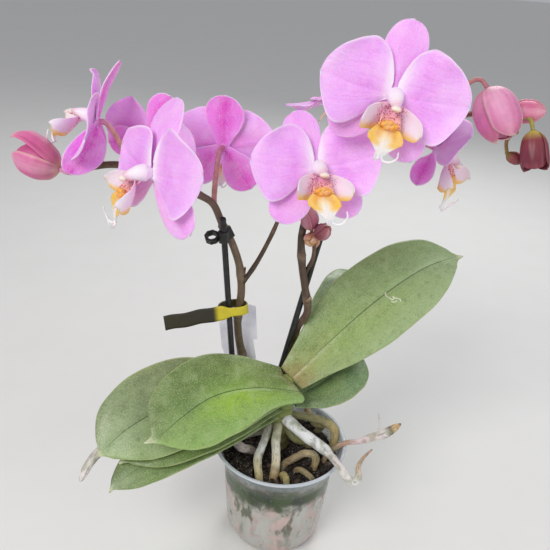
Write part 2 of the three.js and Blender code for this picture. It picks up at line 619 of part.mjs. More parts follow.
const rightSpike = [
  { from: 2.7, to: 1.6, sides: 6,
    route: [[0, 14, 98], [-0.5, 22, 102], [1, 27, 112], [3, 30.5, 128], [5, 29.5, 145],
      [10.5, 22, 163], [7, 18.5, 184], [4, 16, 199], [2, 13, 222], [7, 12, 243], [18, 16, 262],
      [38, 22, 279], [62, 27, 290], [84, 32, 293], [100, 44, 293], [111, 47, 290], [118, 41, 286],
      [121, 35, 286]] },
  { from: 1.4, to: 1.1, sides: 5, route: [[6, 18, 192], [10, 17, 203], [10, 13, 214], [9, 12, 220]] },
  { from: 1.1, to: 1, sides: 5, route: [[10, 13.5, 213], [8, 12, 219], [7, 10, 226.5]] },
  { from: 1.1, to: 1, sides: 5, route: [[10, 14, 212], [12, 12, 217], [11, 9, 222.5]] },
  { from: 1.5, to: 1.4, sides: 5, route: [[12, 13, 253], [11, 4, 266], [7, -12, 274]], bloom: 1 },
  { from: 1.5, to: 1.4, sides: 5, route: [[56, 26, 288], [52, 12, 300], [43, -2, 310]], bloom: 0 },
  { from: 1.5, to: 1.3, sides: 5, route: [[57, 26, 289.3], [60, 24.5, 286], [66, 27, 286]], bloom: 6 },
  { from: 1.5, to: 1.3, sides: 5,
    route: [[34, 21, 277], [29, 25, 286], [24, 29, 297], [19, 43, 305.5], [17, 57, 306]], bloom: 7 },
  { from: 1.4, to: 1.2, sides: 5,
    route: [[77, 30.5, 292], [81, 34, 301], [89, 37, 311], [95, 38, 313], [99, 35, 309.3]] },
  { from: 1.3, to: 1.1, sides: 5,
    route: [[118, 41, 286], [122, 40, 292], [127, 36, 294], [129, 31, 288.3]] },
  { from: 1.2, to: 1, sides: 5, route: [[110, 47, 290], [112.5, 47, 294.5], [118, 44, 296]] },
  { from: 1.2, to: 1, sides: 5, route: [[120, 36, 286], [117.5, 37, 280], [118.4, 34.3, 273.2]] },
];

// The stretch's route, ended at the back of the flower that it carries.
function stretchRoute(stretch) {
  if (stretch.bloom === undefined) return stretch.route;
  const flower = flowers[stretch.bloom];
  const back = vec(flower.face).normalize();
  const centre = vec(flower.at);
  return [...stretch.route.slice(0, -1),
    centre.clone().addScaledVector(back, -(stretch.straight ?? 12)).toArray(),
    centre.clone().addScaledVector(back, -1).toArray()];
}

function spike(stretches) {
  const bars = stretches.map((stretch) => {
    const route = stretchRoute(stretch);
    const nodes = (t) => 1 + 0.12 * pow(sin(PI * t * route.length * 0.5), 12);
    const radius = (t) => (stretch.from + (stretch.to - stretch.from) * t) * nodes(t);
    return bar(route, radius, stretch.sides, route.length > 6 ? mainSteps : route.length);
  });
  const cores = flowers.map((flower) => new THREE.SphereGeometry(coreRadius + gap, 7, 4)
    .scale(1, 1, coreFlatness + 0.05).applyMatrix4(flowerFrame(flower)));
  const heads = buds.map((bud) => budBody(bud, gap));
  return [...cores, ...heads].map(toSolid).reduce((whole, part) => whole.subtract(part), join(bars));
}

// ---------------------------------------------------------------- clip, strap, tag

// A straight stretch of a route, as long as half on both sides of one of its points.
function stretchAt(point, direction, half) {
  const d = vec(direction).normalize();
  return [vec(point).addScaledVector(d, -half).toArray(), vec(point).addScaledVector(d, half).toArray()];
}

function clip(spikeCutter, stakeCutter) {
  const onSpike = [-43.9, 22.8, 213.5];
  const onStake = [-45, 16.8, 213.5];
  const loopCentre = [-52, 16, 213];
  const ringSpike = straightBar(stretchAt(onSpike, [-7, 0.6, 13], 3.4), 4.2, 8);
  const ringStake = straightBar(stretchAt(onStake, [-15, 3, 174], 3.4), 3.4, 8);
  const web = new THREE.BoxGeometry(2.6, 5, 5).translate(-44.5, 19.6, 213.5);
  const loop = straightBar(stretchAt(loopCentre, [-0.1, -0.5, 1], 1.8), 4.6, 8);
  const hole = straightBar(stretchAt(loopCentre, [-0.1, -0.5, 1], 4), 3.1, 8);
  return join([ringSpike, ringStake, web, loop])
    .subtract(toSolid(hole))
    .subtract(spikeCutter)
    .subtract(toSolid(stakeCutter));
}

// The strap's centre line seen from above, from its free end round the spike and stake.
const strapRoute = [[-77, -6, 163], [-61, 1, 164], [-47, 8, 164.5], [-38, 12.5, 164], [-30, 17, 163.5],
  [-28.3, 21.5, 163], [-30.5, 25.5, 163], [-36, 26.8, 163], [-43, 22.5, 163.5], [-46, 17, 164],
  [-46.3, 12.5, 164]];

function strap() {
  const route = new THREE.CatmullRomCurve3(strapRoute.map(vec), false, 'centripetal');
  const up = new THREE.Vector3(-0.1, -0.12, 1).normalize();
  const surface = (t, s) => route.getPointAt(t)
    .addScaledVector(up, s * blend([[0, 5.2], [0.42, 5.4], [0.5, 3.2], [1, 3]], t));
  return blade(surface, 15, 1, strapThickness);
}

const tagOutline = [[-12, 41], [-9, 20], [3, -10], [12, -50], [18, -50], [16, -6], [15, 14], [12.4, 27],
  [15, 28], [12.5, 52], [8, 53]];
const tagSlot = [[2.6, -10], [11.5, -50.5], [18.5, -50.5], [16.5, -6]];

function tagPlate(outline, extra) {
  const shape = new THREE.Shape(outline.map(([x, y]) => new THREE.Vector2(x, y)));
  const depth = 0.8 + 2 * extra;
  const plate = new THREE.ExtrudeGeometry(shape, { depth, bevelEnabled: false });
  plate.translate(0, 0, -extra);
  plate.rotateX(PI / 2 - 0.13);
  plate.translate(-36, 30, 105);
  return plate;
}

// ---------------------------------------------------------------- the whole plant

function build() {
  piece('pot', fromSolid(pot()), colours.pot, 0.35);
  const stakeBars = Object.entries(stakes);
  const inSoil = [
    ...roots.map((root) => rootBar(root, gap)),
    ...stakeBars.map(([, ends]) => straightBar(ends, stakeRadius + gap, 10)),
    stemBar(gap),
    tagPlate(tagSlot, gap),
  ];
  piece('bark_medium', fromSolid(cut(bark(), inSoil)), colours.bark, 0.95);
  piece('stem_base', stemBar(), colours.stem);
  stakeBars.forEach(([name, ends]) => piece(name, straightBar(ends, stakeRadius, 10), colours.stake, 0.4));
  roots.forEach((root) => {
    piece(root.name, fromSolid(cut(rootBar(root), [stemBar(gap)])), root.colour, 0.7);
  });
  leaves.forEach((leaf) => {
    piece(leaf.name, fromSolid(cut(leafBlade(leaf), [stemBar(gap)])), leaf.colour, 0.45);
  });
  const left = spike(leftSpike).subtract(toSolid(stemBar(gap)));
  const right = spike(rightSpike).subtract(toSolid(stemBar(gap)));
  piece('spike_left', fromSolid(left), colours.spike);
  piece('spike_right', fromSolid(right), colours.spike);
  flowers.forEach((flower) => {
    piece(`${flower.name}_tepals`, tepals(flower), flower.back ? colours.tepalBack : colours.tepal);
    piece(`${flower.name}_lip`, lip(flower), colours.lip);
  });
  buds.forEach((bud) => piece(bud.name, budBody(bud), bud.colour, 0.5));
  const main = leftSpike[0];
  const thick = bar(main.route, (t) => main.from + (main.to - main.from) * t + 0.3 + gap, 8,
    mainSteps);
  const stakeCutter = straightBar(stakes.stake_left, stakeRadius + gap, 10);
  piece('spike_clip', fromSolid(clip(toSolid(thick), stakeCutter)), colours.stake, 0.4);
  piece('label_strap', strap(), colours.strap, 0.5);
  piece('plant_tag', tagPlate(tagOutline, 0), colours.tag, 0.5);
}

build();

export default group;
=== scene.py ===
"""The potted moth orchid's looks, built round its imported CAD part. Lengths in the tables
are millimetres, in the part's own frame; meshes are made in metres."""

from collections import namedtuple
import math

import bpy
import numpy as np
from mathutils import Matrix, Vector


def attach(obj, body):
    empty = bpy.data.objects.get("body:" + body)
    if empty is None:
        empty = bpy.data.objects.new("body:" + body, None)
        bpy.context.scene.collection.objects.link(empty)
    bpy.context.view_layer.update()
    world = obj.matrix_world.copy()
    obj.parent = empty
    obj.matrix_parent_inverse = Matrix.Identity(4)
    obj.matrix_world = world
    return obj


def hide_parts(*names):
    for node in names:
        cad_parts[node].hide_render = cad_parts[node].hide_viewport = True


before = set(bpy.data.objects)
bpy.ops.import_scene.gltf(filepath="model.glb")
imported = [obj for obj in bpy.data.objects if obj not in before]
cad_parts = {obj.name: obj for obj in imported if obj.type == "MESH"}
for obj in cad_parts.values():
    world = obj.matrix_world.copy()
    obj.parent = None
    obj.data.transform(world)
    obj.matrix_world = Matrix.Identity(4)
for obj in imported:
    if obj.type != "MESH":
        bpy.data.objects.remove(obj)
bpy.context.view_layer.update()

MM = 0.001
TAU = 2 * math.pi
GAP = 0.3
RIM_RADIUS, POT_HEIGHT, BASE_RADIUS = 45.0, 77.0, 27.0
WALL, FLOOR = 1.2, 1.6
HEEL, HEEL_SHARE = 5.2, 0.16
COLLAR, COLLAR_START = 6.4, 0.74
MEDIUM_TOP, MEDIUM_RADIUS = 67.0, 36.3
CHIP_COUNT = 520


# -------------------- numbers and curves

def clamp(x):
    return np.clip(x, 0, 1)


def bell(x, width):
    return np.exp(-(x / width) ** 2)


def unit(v):
    v = np.asarray(v, float)
    return v / (np.linalg.norm(v, axis=-1, keepdims=True) + 1e-12)


def through(stops, t, level=False):
    """A smooth curve through {t: value} stops that never overshoots them; level at each
    stop if asked."""
    x, y = np.array(list(stops.items()), float).T
    t = np.asarray(t, float)
    width, slope = np.diff(x), np.diff(y) / np.diff(x)
    product, total = slope[:-1] * slope[1:], slope[:-1] + slope[1:]
    middle = np.where(product > 0, 2 * product / np.where(total == 0, 1, total), 0)
    rate = np.concatenate([slope[:1], middle, slope[-1:]]) * (not level)
    i = np.clip(np.searchsorted(x, t, side="right") - 1, 0, len(x) - 2)
    u = clamp((t - x[i]) / width[i])
    a, b = y[i], y[i + 1]
    return (a + (b - a) * u * u * (3 - 2 * u)
            + width[i] * u * (1 - u) * (rate[i] * (1 - u) - rate[i + 1] * u))


def rounded(t, start, least, power=2):
    """The share of its width that a blade keeps at t, rounding off from start to its tip."""
    ending = np.maximum(0, (t - start) / (1 - start))
    return np.maximum(np.sqrt(np.maximum(0, 1 - ending ** power)), least)


def distances(points):
    """How far along a line of points each of them lies."""
    return np.concatenate([[0], np.cumsum(np.linalg.norm(np.diff(points, axis=0), axis=1))])


class Curve:
    """A centripetal Catmull-Rom curve through points, read by its share of length."""

    def __init__(self, route, steps=40):
        p = [np.asarray(q, float) for q in route]
        p = [2 * p[0] - p[1]] + p + [2 * p[-1] - p[-2]]
        x = np.linspace(0, 1, steps, endpoint=False)[:, None]
        out = []
        for a, b, c, d in zip(p, p[1:], p[2:], p[3:]):
            d0, d1, d2 = (max(np.linalg.norm(v) ** 0.5, 1e-4) for v in (b - a, c - b, d - c))
            m1 = ((b - a) / d0 - (c - a) / (d0 + d1) + (c - b) / d1) * d1
            m2 = ((c - b) / d1 - (d - b) / (d1 + d2) + (d - c) / d2) * d1
            out.append(b + m1 * x + (-3 * b + 3 * c - 2 * m1 - m2) * x ** 2
                       + (2 * b - 2 * c + m1 + m2) * x ** 3)
        out.append(p[-2][None, :])
        self.points = np.concatenate(out)
        self.along = distances(self.points)
        self.length = self.along[-1]

    def at(self, u):
        x = clamp(np.asarray(u, float)) * self.length
        return np.stack([np.interp(x, self.along, axis) for axis in self.points.T], -1)

    def tangent(self, u):
        u = np.asarray(u, float)
        return unit(self.at(np.minimum(1, u + 0.004)) - self.at(np.maximum(0, u - 0.004)))


def noise3(p, seed, scale):
    """Smooth value noise in -1..1 for points p (mm), the same on each run."""
    p = np.asarray(p, float) / scale + seed * 17.31
    base = np.floor(p)
    f = p - base
    f = f * f * (3 - 2 * f)
    total = np.zeros(p.shape[:-1])
    for corner in range(8):
        o = np.array([corner & 1, (corner >> 1) & 1, corner >> 2])
        q = base + o
        h = np.sin(q[..., 0] * 127.1 + q[..., 1] * 311.7 + q[..., 2] * 74.7) * 43758.5453
        h = (h - np.floor(h)) * 2 - 1
        total += h * np.prod(np.where(o == 1, f, 1 - f), axis=-1)
    return total


# -------------------- meshes

def linked(name, data):
    """A new object of the data, in the scene."""
    thing = bpy.data.objects.new(name, data)
    bpy.context.scene.collection.objects.link(thing)
    return thing


def mesh_of(name, points, faces):
    mesh = bpy.data.meshes.new(name)
    mesh.from_pydata((np.asarray(points, float) * MM).tolist(), [], faces)
    return mesh


def make(name, points, faces, node, slot, material, smooth=True, **data):
    """A mesh object from points in millimetres, riding on the part's body."""
    mesh = mesh_of(name, points, faces)
    mesh.materials.append(material)
    mesh.polygons.foreach_set("use_smooth", np.full(len(mesh.polygons), smooth))
    for key, values in data.items():
        attribute = mesh.attributes.new(key, "FLOAT_VECTOR", "POINT")
        attribute.data.foreach_set("vector", np.asarray(values, np.float32).ravel())
    mesh.update()
    piece = linked(name, mesh)
    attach(piece, "root")
    if node:
        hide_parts(node)
    return piece


class Shape:
    """Collects the closed parts of one piece, each with its points' data."""

    def __init__(self):
        self.points, self.faces, self.data = np.zeros((0, 3)), [], {}

    def add(self, points, faces, **data):
        first = len(self.points)
        self.faces += [[i + first for i in face] for face in faces]
        self.points = np.concatenate([self.points, points])
        for key, values in data.items():
            known = self.data.get(key, np.zeros((0, 3)))
            values = np.broadcast_to(rgb(values), (len(points), 3))
            self.data[key] = np.concatenate([known, values])

    def make(self, name, node, slot, material, **options):
        make(name, self.points, self.faces, node, slot, material, **options, **self.data)


def sheet(surface, rows, columns, thickness):
    """A thin closed blade round the middle surface(t, s). Returns its points, its faces
    and their t, s and side, where side is 1 on the face that t x s points to."""
    t, s = np.meshgrid(np.linspace(0, 1, rows + 1), np.linspace(-1, 1, columns + 1),
                       indexing="ij")
    step = 1e-3
    middle = surface(t, s)
    along = surface(np.minimum(1, t + step), s) - surface(np.maximum(0, t - step), s)
    across = surface(t, np.minimum(1, s + step)) - surface(t, np.maximum(-1, s - step))
    half = (thickness(t, s) if callable(thickness) else thickness) / 2
    offset = unit(np.cross(along, across)) * np.broadcast_to(half, t.shape)[..., None]
    points = np.concatenate([middle + offset, middle - offset]).reshape(-1, 3)
    wide = columns + 1
    lower = wide * (rows + 1)
    a = (np.arange(rows)[:, None] * wide + np.arange(columns)).ravel()
    top = np.stack([a, a + wide, a + wide + 1, a + 1], 1)
    faces = np.concatenate([top, top[:, ::-1] + lower]).tolist()
    rim = ([*range(columns)] + [i * wide + columns for i in range(rows)]
           + [rows * wide + j for j in range(columns, 0, -1)]
           + [i * wide for i in range(rows, 0, -1)])
    faces += [[a, b, b + lower, a + lower] for a, b in zip(rim, rim[1:] + rim[:1])]
    side = np.repeat([1.0, -1.0], lower)
    return points, faces, (np.tile(t.ravel(), 2), np.tile(s.ravel(), 2), side)


# the rings that round off a tube's ends, and how far the ends rise, as shares of its radius
CAPS = (0.38, 0.71, 0.92)
CAP_RISE = 0.8


def tube(centres, radii, sides, wobble=lambda where, turn: 0):
    """A closed tube with rounded ends. Returns points, faces, and how far along the tube and
    how far round it each point is."""
    radii = np.broadcast_to(radii, len(centres))
    tangents = unit(np.gradient(centres, axis=0))
    normal = np.cross(tangents[0], [0.31, 0.52, 0.79])
    frames = []
    for tangent in tangents:
        normal = unit(normal - tangent * (normal @ tangent))
        frames.append((normal, np.cross(tangent, normal)))
    along = distances(centres)
    turn = np.arange(sides) * TAU / sides
    stations = ([(0, c, -CAP_RISE) for c in CAPS] + [(i, 1, 0) for i in range(len(centres))]
                + [(-1, c, CAP_RISE) for c in CAPS[::-1]])
    rings = []
    for i, c, way in stations:
        n, b = frames[i]
        r = np.broadcast_to(radii[i] * c * (1 + wobble(along[i], turn)), sides)[:, None]
        centre = centres[i] + tangents[i] * math.sqrt(1 - c * c) * radii[i] * way
        rings.append(centre + r * (np.cos(turn)[:, None] * n + np.sin(turn)[:, None] * b))
    ends = [centres[i] + tangents[i] * radii[i] * way for i, way in ((0, -CAP_RISE),
                                                                     (-1, CAP_RISE))]
    faces = [[i + k, i + m, i + sides + m, i + sides + k]
             for i in range(0, (len(rings) - 1) * sides, sides) for k, m in ring_pairs(sides)]
    last = len(rings) * sides
    for k, m in ring_pairs(sides):
        faces += [[last, m, k], [last + 1, last - sides + k, last - sides + m]]
    where = np.repeat([along[i] for i, _, _ in stations], sides)
    facts = np.append(where, [0, along[-1]]), np.append(np.tile(turn, len(rings)), [0, 0])
    return np.concatenate(rings + [ends]), faces, facts


def ring_pairs(sides):
    return [(k, (k + 1) % sides) for k in range(sides)]


def lathe(profile, sides):
    """A turned shape from (radius, height) pairs, the first and last of them on the axis."""
    points, rows = [], []
    turn = np.arange(sides) * TAU / sides
    for radius, z in profile:
        spots = sides if radius > 0 else 1
        rows.append([len(points) + k % spots for k in range(sides)])
        points += [(radius * math.cos(a), radius * math.sin(a), z) for a in turn[:spots]]
    faces = [list(dict.fromkeys([a[k], a[m], b[m], b[k]]))
             for a, b in zip(rows, rows[1:]) for k, m in ring_pairs(sides)]
    return np.array(points), faces


def ball(radii, rings, sides):
    profile = [(math.sin(math.pi * i / rings) * (i < rings), -math.cos(math.pi * i / rings))
               for i in range(rings + 1)]
    points, faces = lathe(profile, sides)
    return points * radii, faces


# -------------------- paints

def rgb(code):
    """A colour given as 0xRRGGBB, the way a screen shows it, as linear light."""
    if not isinstance(code, int):
        return np.asarray(code, float)
    c = np.array([code >> 16, code >> 8 & 255, code & 255]) / 255
    return np.where(c <= 0.04045, c / 12.92, ((c + 0.055) / 1.055) ** 2.4)


def mixed(a, b, amount):
    amount = clamp(np.asarray(amount, float))[..., None]
    return rgb(a) * (1 - amount) + rgb(b) * amount


def layered(tint, *layers):
    """The tint under layers of (colour, amount), the first of them lowest."""
    for colour, amount in layers:
        tint = mixed(tint, colour, amount)
    return tint


def colour_along(stops, t):
    """The colours at t along {place: colour} stops."""
    colours = np.array([rgb(code) for code in stops.values()])
    return np.stack([np.interp(t, list(stops), channel) for channel in colours.T], -1)


class Value:
    """What a node gives out, to be worked with by +, - and *."""

    def __init__(self, paint, socket):
        self.paint, self.socket = paint, socket

    def math(self, operation, other=0.0):
        return self.paint.node("Math", {0: self, 1: other}, operation=operation)[0]

    def __add__(self, other):
        return self.math("ADD", other)

    def __sub__(self, other):
        return self.math("SUBTRACT", other)

    def __rsub__(self, other):
        return self.paint.node("Math", {0: other, 1: self}, operation="SUBTRACT")[0]

    def __mul__(self, other):
        return self.math("MULTIPLY", other)

    def ramp(self, low, high, end=1.0, start=0.0):
        """start below low, end above high, and smooth between them."""
        return self.paint.node("MapRange", dict(enumerate((self, low, high, start, end))),
                               interpolation_type="SMOOTHSTEP")[0]

    def to(self, colour, amount):
        return self.paint.mix(self, colour, amount)

    def split(self):
        return self.paint.node("SeparateXYZ", {0: self})


class Paint:
    """A material of one Principled shader, with short names for the nodes that feed it."""

    def __init__(self, name, **sockets):
        self.material = bpy.data.materials.new(name)
        self.material.use_nodes = True
        self.tree = self.material.node_tree
        self.tree.nodes.clear()
        output = self.tree.nodes.new("ShaderNodeOutputMaterial")
        self.shader = self.tree.nodes.new("ShaderNodeBsdfPrincipled")
        self.tree.links.new(self.shader.outputs[0], output.inputs["Surface"])
        for key, value in sockets.items():
            self.set(key.replace("_", " "), value)
        self.place = self.node("TexCoord", {})[3]

    def put(self, socket, value):
        if isinstance(value, Value):
            self.tree.links.new(value.socket, socket)
        else:
            socket.default_value = value

    def set(self, key, value):
        self.put(self.shader.inputs[key], value)

    def node(self, kind, feeds, **settings):
        """A new node's outputs, its inputs being fed by name or number."""
        node = self.tree.nodes.new("ShaderNode" + kind)
        for key, value in settings.items():
            setattr(node, key, value)
        for key, value in feeds.items():
            self.put(node.inputs[key], value)
        return [Value(self, socket) for socket in node.outputs]

    def attribute(self, name):
        return self.node("Attribute", {}, attribute_name=name)[1]

    def joined(self, *axes):
        return self.node("CombineXYZ", dict(enumerate(axes)))[0]

    def noise(self, size, detail=3.0, roughness=0.55, vector=None, distortion=0.0):
        """Cloudy noise whose features are about size across, in millimetres of the part or
        in units of the vector."""
        scale = 1 / size if vector else 1 / MM / size
        return self.node("TexNoise", {
            "Vector": vector or self.place, "Scale": scale, "Detail": detail,
            "Roughness": roughness, "Distortion": distortion})[0]

    def cells(self, size, feature="F1"):
        return self.node("TexVoronoi", {"Vector": self.place, "Scale": 1 / MM / size},
                         feature=feature)

    def mix(self, a, b, amount, kind="MIX"):
        a, b = ((*rgb(c), 1.0) if isinstance(c, int) else c for c in (a, b))
        return self.node("Mix", {0: amount, 6: a, 7: b}, data_type="RGBA", blend_type=kind)[2]

    def finish(self, colour, relief, depth):
        """The material in this colour, with relief of a depth in millimetres."""
        self.set("Base Color", colour)
        self.set("Normal", self.node("Bump", {"Strength": 1.0, "Distance": depth * MM,
                                              "Height": relief})[0])
        return self.material


def tinted(name, coarse, fine, amount, depth, roughness, **sockets):
    """A paint in each point's own colour, with mottling at two sizes."""
    paint = Paint(name, Roughness=roughness, **sockets)
    both = paint.noise(coarse) * 0.5 + paint.noise(fine, 4) * 0.5
    shade = both.ramp(0.3, 0.7, 1 + amount * 0.6, 1 - amount)
    colour = paint.mix(paint.attribute("tint"), paint.joined(shade, shade, shade), 1.0, "MULTIPLY")
    return paint.finish(colour, both, depth)


def tepal_paint():
    """Petals and sepals: veins fan out from the base and fork on their way."""
    paint = Paint("tepal", Roughness=0.5, Subsurface_Weight=0.25, Subsurface_Scale=0.0025,
                  Sheen_Weight=0.12, Sheen_Roughness=0.4)
    angle, reach, edge = paint.attribute("vein").split()
    strength = paint.attribute("kind").split()[1]
    wavy = angle + (paint.noise(7.0, 2) - 0.5) * 0.07
    veins = 0.0
    for count, start, full, sharp in ((34, 0.02, 0.12, 0.80), (68, 0.30, 0.5, 0.84),
                                      (136, 0.58, 0.75, 0.88)):
        wave = (wavy * (count / 2)).math("COSINE").math("ABSOLUTE")
        veins = (wave.ramp(sharp, 1.0) * reach.ramp(start, full)).math("MAXIMUM", veins)
    veins = veins * edge.ramp(0.02, 0.16) * paint.noise(5.0, 2).ramp(0.34, 0.66)
    grain = paint.noise(0.55, 2)
    colour = (paint.attribute("tint").to(0xFAD6FC, paint.noise(9.0, 3).ramp(0.4, 0.7, 0.3))
              .to(0xCF68D6, veins * strength)
              .to(0xFFECFF, grain.ramp(0.38, 0.72, 0.26)))
    return paint.finish(colour, grain * 0.35 - veins, 0.1)


def lip_paint():
    """Waxy white and yellow, with crimson dots where the mark says the throat is."""
    paint = Paint("lip", Roughness=0.4, Subsurface_Weight=0.25, Subsurface_Scale=0.002)
    throat = paint.attribute("mark").split()[0]
    grain, cloud = paint.noise(0.5, 3), paint.noise(2.4, 3)
    dots = paint.cells(1.15)[0].ramp(0.26, 0.42, 0.0, 1.0)
    colour = (paint.attribute("tint").to(0xFFECF6, cloud.ramp(0.35, 0.7, 0.14))
              .to(0xB02854, dots * throat)
              .to(0xFFFAF6, grain.ramp(0.3, 0.7, 0.1)))
    return paint.finish(colour, grain + cloud, 0.12)


def leaf_paint():
    """Green with a fine pale grain, a thin dark midrib line and a pale margin."""
    paint = Paint("leaf", Roughness=0.4, Coat_Weight=0.15, Coat_Roughness=0.3,
                  Subsurface_Weight=0.05, Subsurface_Scale=0.002)
    along, across, _ = paint.attribute("vein").split()
    reach = across.math("ABSOLUTE")
    grain, fine = paint.cells(0.85)[0], paint.noise(0.9, 3, 0.7)
    cloud, blotch = paint.noise(13.0, 4), paint.noise(4.0, 4, 0.6)
    streak = paint.noise(1.0, 3, vector=paint.joined(along * 0.06, across * 26.0, 0.0))
    colour = (paint.attribute("tint").to(0xA4BA7A, cloud.ramp(0.4, 0.66, 0.2))
              .to(0x4A6230, blotch.ramp(0.52, 0.7, 0.32))
              .to(0x627C3A, streak.ramp(0.45, 0.7, 0.2))
              .to(0xC8D698, grain.ramp(0.1, 0.5, 0.0, 0.46))
              .to(0x4E6834, fine.ramp(0.54, 0.7, 0.3))
              .to(0x405426, reach.ramp(0.01, 0.03, 0.0, 0.8))
              .to(0xACB874, reach.ramp(0.965, 0.985, 0.5)))
    paint.set("Roughness", blotch.ramp(0.35, 0.7, 0.52, 0.36))
    return paint.finish(colour, grain * 0.6 + paint.noise(2.2, 3), 0.12)


def bark_paint():
    """Wet, nearly black bark with sparse pale specks."""
    paint = Paint("bark", Roughness=0.85)
    x, y, z = paint.place.split()
    grain = paint.noise(1.0, 4, vector=paint.joined(x * 260.0, y * 260.0, z * 900.0))
    lump = paint.noise(5.0, 5, 0.65)
    colour = (paint.mix(0x120E0C, 0x382B22, lump.ramp(0.35, 0.7))
              .to(0x584434, grain.ramp(0.5, 0.75, 0.5))
              .to(0xCED0C4, paint.noise(0.9, 2).ramp(0.64, 0.7, 0.85)))
    return paint.finish(colour, grain + lump, 0.9)


def fill_paint():
    """What shows through the pot's wall: chips, painted shade between them, pale root stretches.
    """
    paint = Paint("bark_fill", Roughness=0.95)
    tone = paint.cells(9.0)[1].split()[0]
    lump = paint.noise(4.5, 5, 0.6)
    chip = paint.cells(9.0, "DISTANCE_TO_EDGE")[0].ramp(0.02, 0.14)
    # near black at the chips' edges: painted shade in the gaps between them
    colour = paint.mix(0x0E0C0A, paint.mix(0x28201A, 0x6C584A, tone), chip)
    colour = colour.to(0xA8968A, lump.ramp(0.52, 0.72, 0.6))
    return paint.finish(colour, chip + lump, 0.9)


def pot_paint():
    """Clear plastic that years of water have clouded, with algae and lime on it."""
    paint = Paint("clear_pot", Roughness=0.28, IOR=1.49, Coat_Weight=0.25, Coat_Roughness=0.15)
    x, y, z = paint.place.split()
    height = z * (1 / MM)
    runs = paint.joined(x, y, z * 0.4)
    cloud = paint.noise(15.0 * MM, 3, 0.5, runs)
    streak = paint.noise(6.0 * MM, 3, 0.5, runs)
    patch = paint.noise(11.0, 3, 0.5, distortion=0.4)
    level = height + (paint.noise(9.0, 3) - 0.5) * 26.0
    spot = paint.noise(1.3, 2)
    band = level.ramp(44.0, 53.0) * level.ramp(69.0, 61.0)
    drips = streak.ramp(0.53, 0.66) * height.ramp(12.0, 30.0, 1.0, 0.35)
    green = band.math("MAXIMUM", drips * 0.8) * height.ramp(72.0, 66.0)
    murky = cloud.ramp(0.4, 0.6)
    colour = (paint.mix(0xE2E2DA, 0xC0BEB4, murky)
              .to(0xDEC2BC, patch.ramp(0.44, 0.62, 0.85))
              .to(0x686E5C, level.ramp(40.0, 52.0, 0.6))
              .to(paint.mix(0x263424, 0x3E502C, murky), green)
              .to(0x929CA0, height.ramp(62.0, 72.0) * (1.0 - green))
              # a painted highlight along the top of the rim
              .to(0xD6DEE4, height.ramp(75.0, 76.4))
              .to(0xDEE0D8, spot.ramp(0.68, 0.74, 0.35)))
    haze = cloud.ramp(0.35, 0.65, 0.78, 0.5).math("MAXIMUM", green * 0.92)
    paint.set("Alpha", haze.math("MAXIMUM", height.ramp(73.6, 75.6, 0.8)))
    paint.set("Roughness", patch.ramp(0.4, 0.65, 0.42, 0.2))
    return paint.finish(colour, patch + spot * 0.15, 0.25)


def root_paint():
    """Chalky skin in each point's own colour, with grey-green patches and dark cracks."""
    paint = Paint("root", Roughness=0.8)
    patch, fine = paint.noise(5.0, 3, 0.6), paint.noise(0.8, 4, 0.7)
    crack = paint.noise(1.0, 3, 0.6, paint.attribute("vein")).ramp(0.58, 0.7)
    colour = (paint.attribute("tint").to(0x7A805C, patch.ramp(0.52, 0.66, 0.4))
              .to(0x6E6250, fine.ramp(0.52, 0.7, 0.45))
              .to(0xF0EEE2, fine.ramp(0.46, 0.32, 0.4))
              .to(0x5C4E3C, crack * 0.55))
    return paint.finish(colour, fine + patch - crack, 0.4)


def plastic_paint(name, colour, second, roughness, size=3.0):
    paint = Paint(name, Roughness=roughness)
    wear, fine = paint.noise(size, 4, 0.6), paint.noise(size * 0.2, 2)
    paint.set("Roughness", fine.ramp(0.3, 0.7, roughness + 0.12, roughness - 0.08))
    return paint.finish(paint.mix(colour, second, wear.ramp(0.35, 0.7)), wear * 0.5 + fine, 0.06)


TEPAL, LIP, LEAF, ROOT = tepal_paint(), lip_paint(), leaf_paint(), root_paint()
STEM = tinted("stem", 4.0, 0.8, 0.22, 0.3, 0.6)
SPIKE = tinted("spike", 3.0, 0.5, 0.3, 0.18, 0.5)
BUD = tinted("bud", 5.0, 0.45, 0.14, 0.1, 0.45, Subsurface_Weight=0.12, Subsurface_Scale=0.002)
STRAP = tinted("strap", 6.0, 0.8, 0.12, 0.05, 0.45)
BARK, FILL, POT = bark_paint(), fill_paint(), pot_paint()
STAKE = plastic_paint("stake", 0x101112, 0x262626, 0.36)
CLIP = plastic_paint("clip", 0x141412, 0x2E2C26, 0.4)
TAG = plastic_paint("tag", 0xFAFAFF, 0xECEEFA, 0.4, 9.0)


# -------------------- pot and bark

def pot_radius(z):
    share = np.asarray(z, float) / POT_HEIGHT
    heel = HEEL * (1 - np.sqrt(1 - np.maximum(0, 1 - share / HEEL_SHARE) ** 2))
    flare = np.maximum(0, (share - COLLAR_START) / (1 - COLLAR_START)) ** 1.25
    return BASE_RADIUS + HEEL - heel + 6 * share ** 0.7 + COLLAR * flare


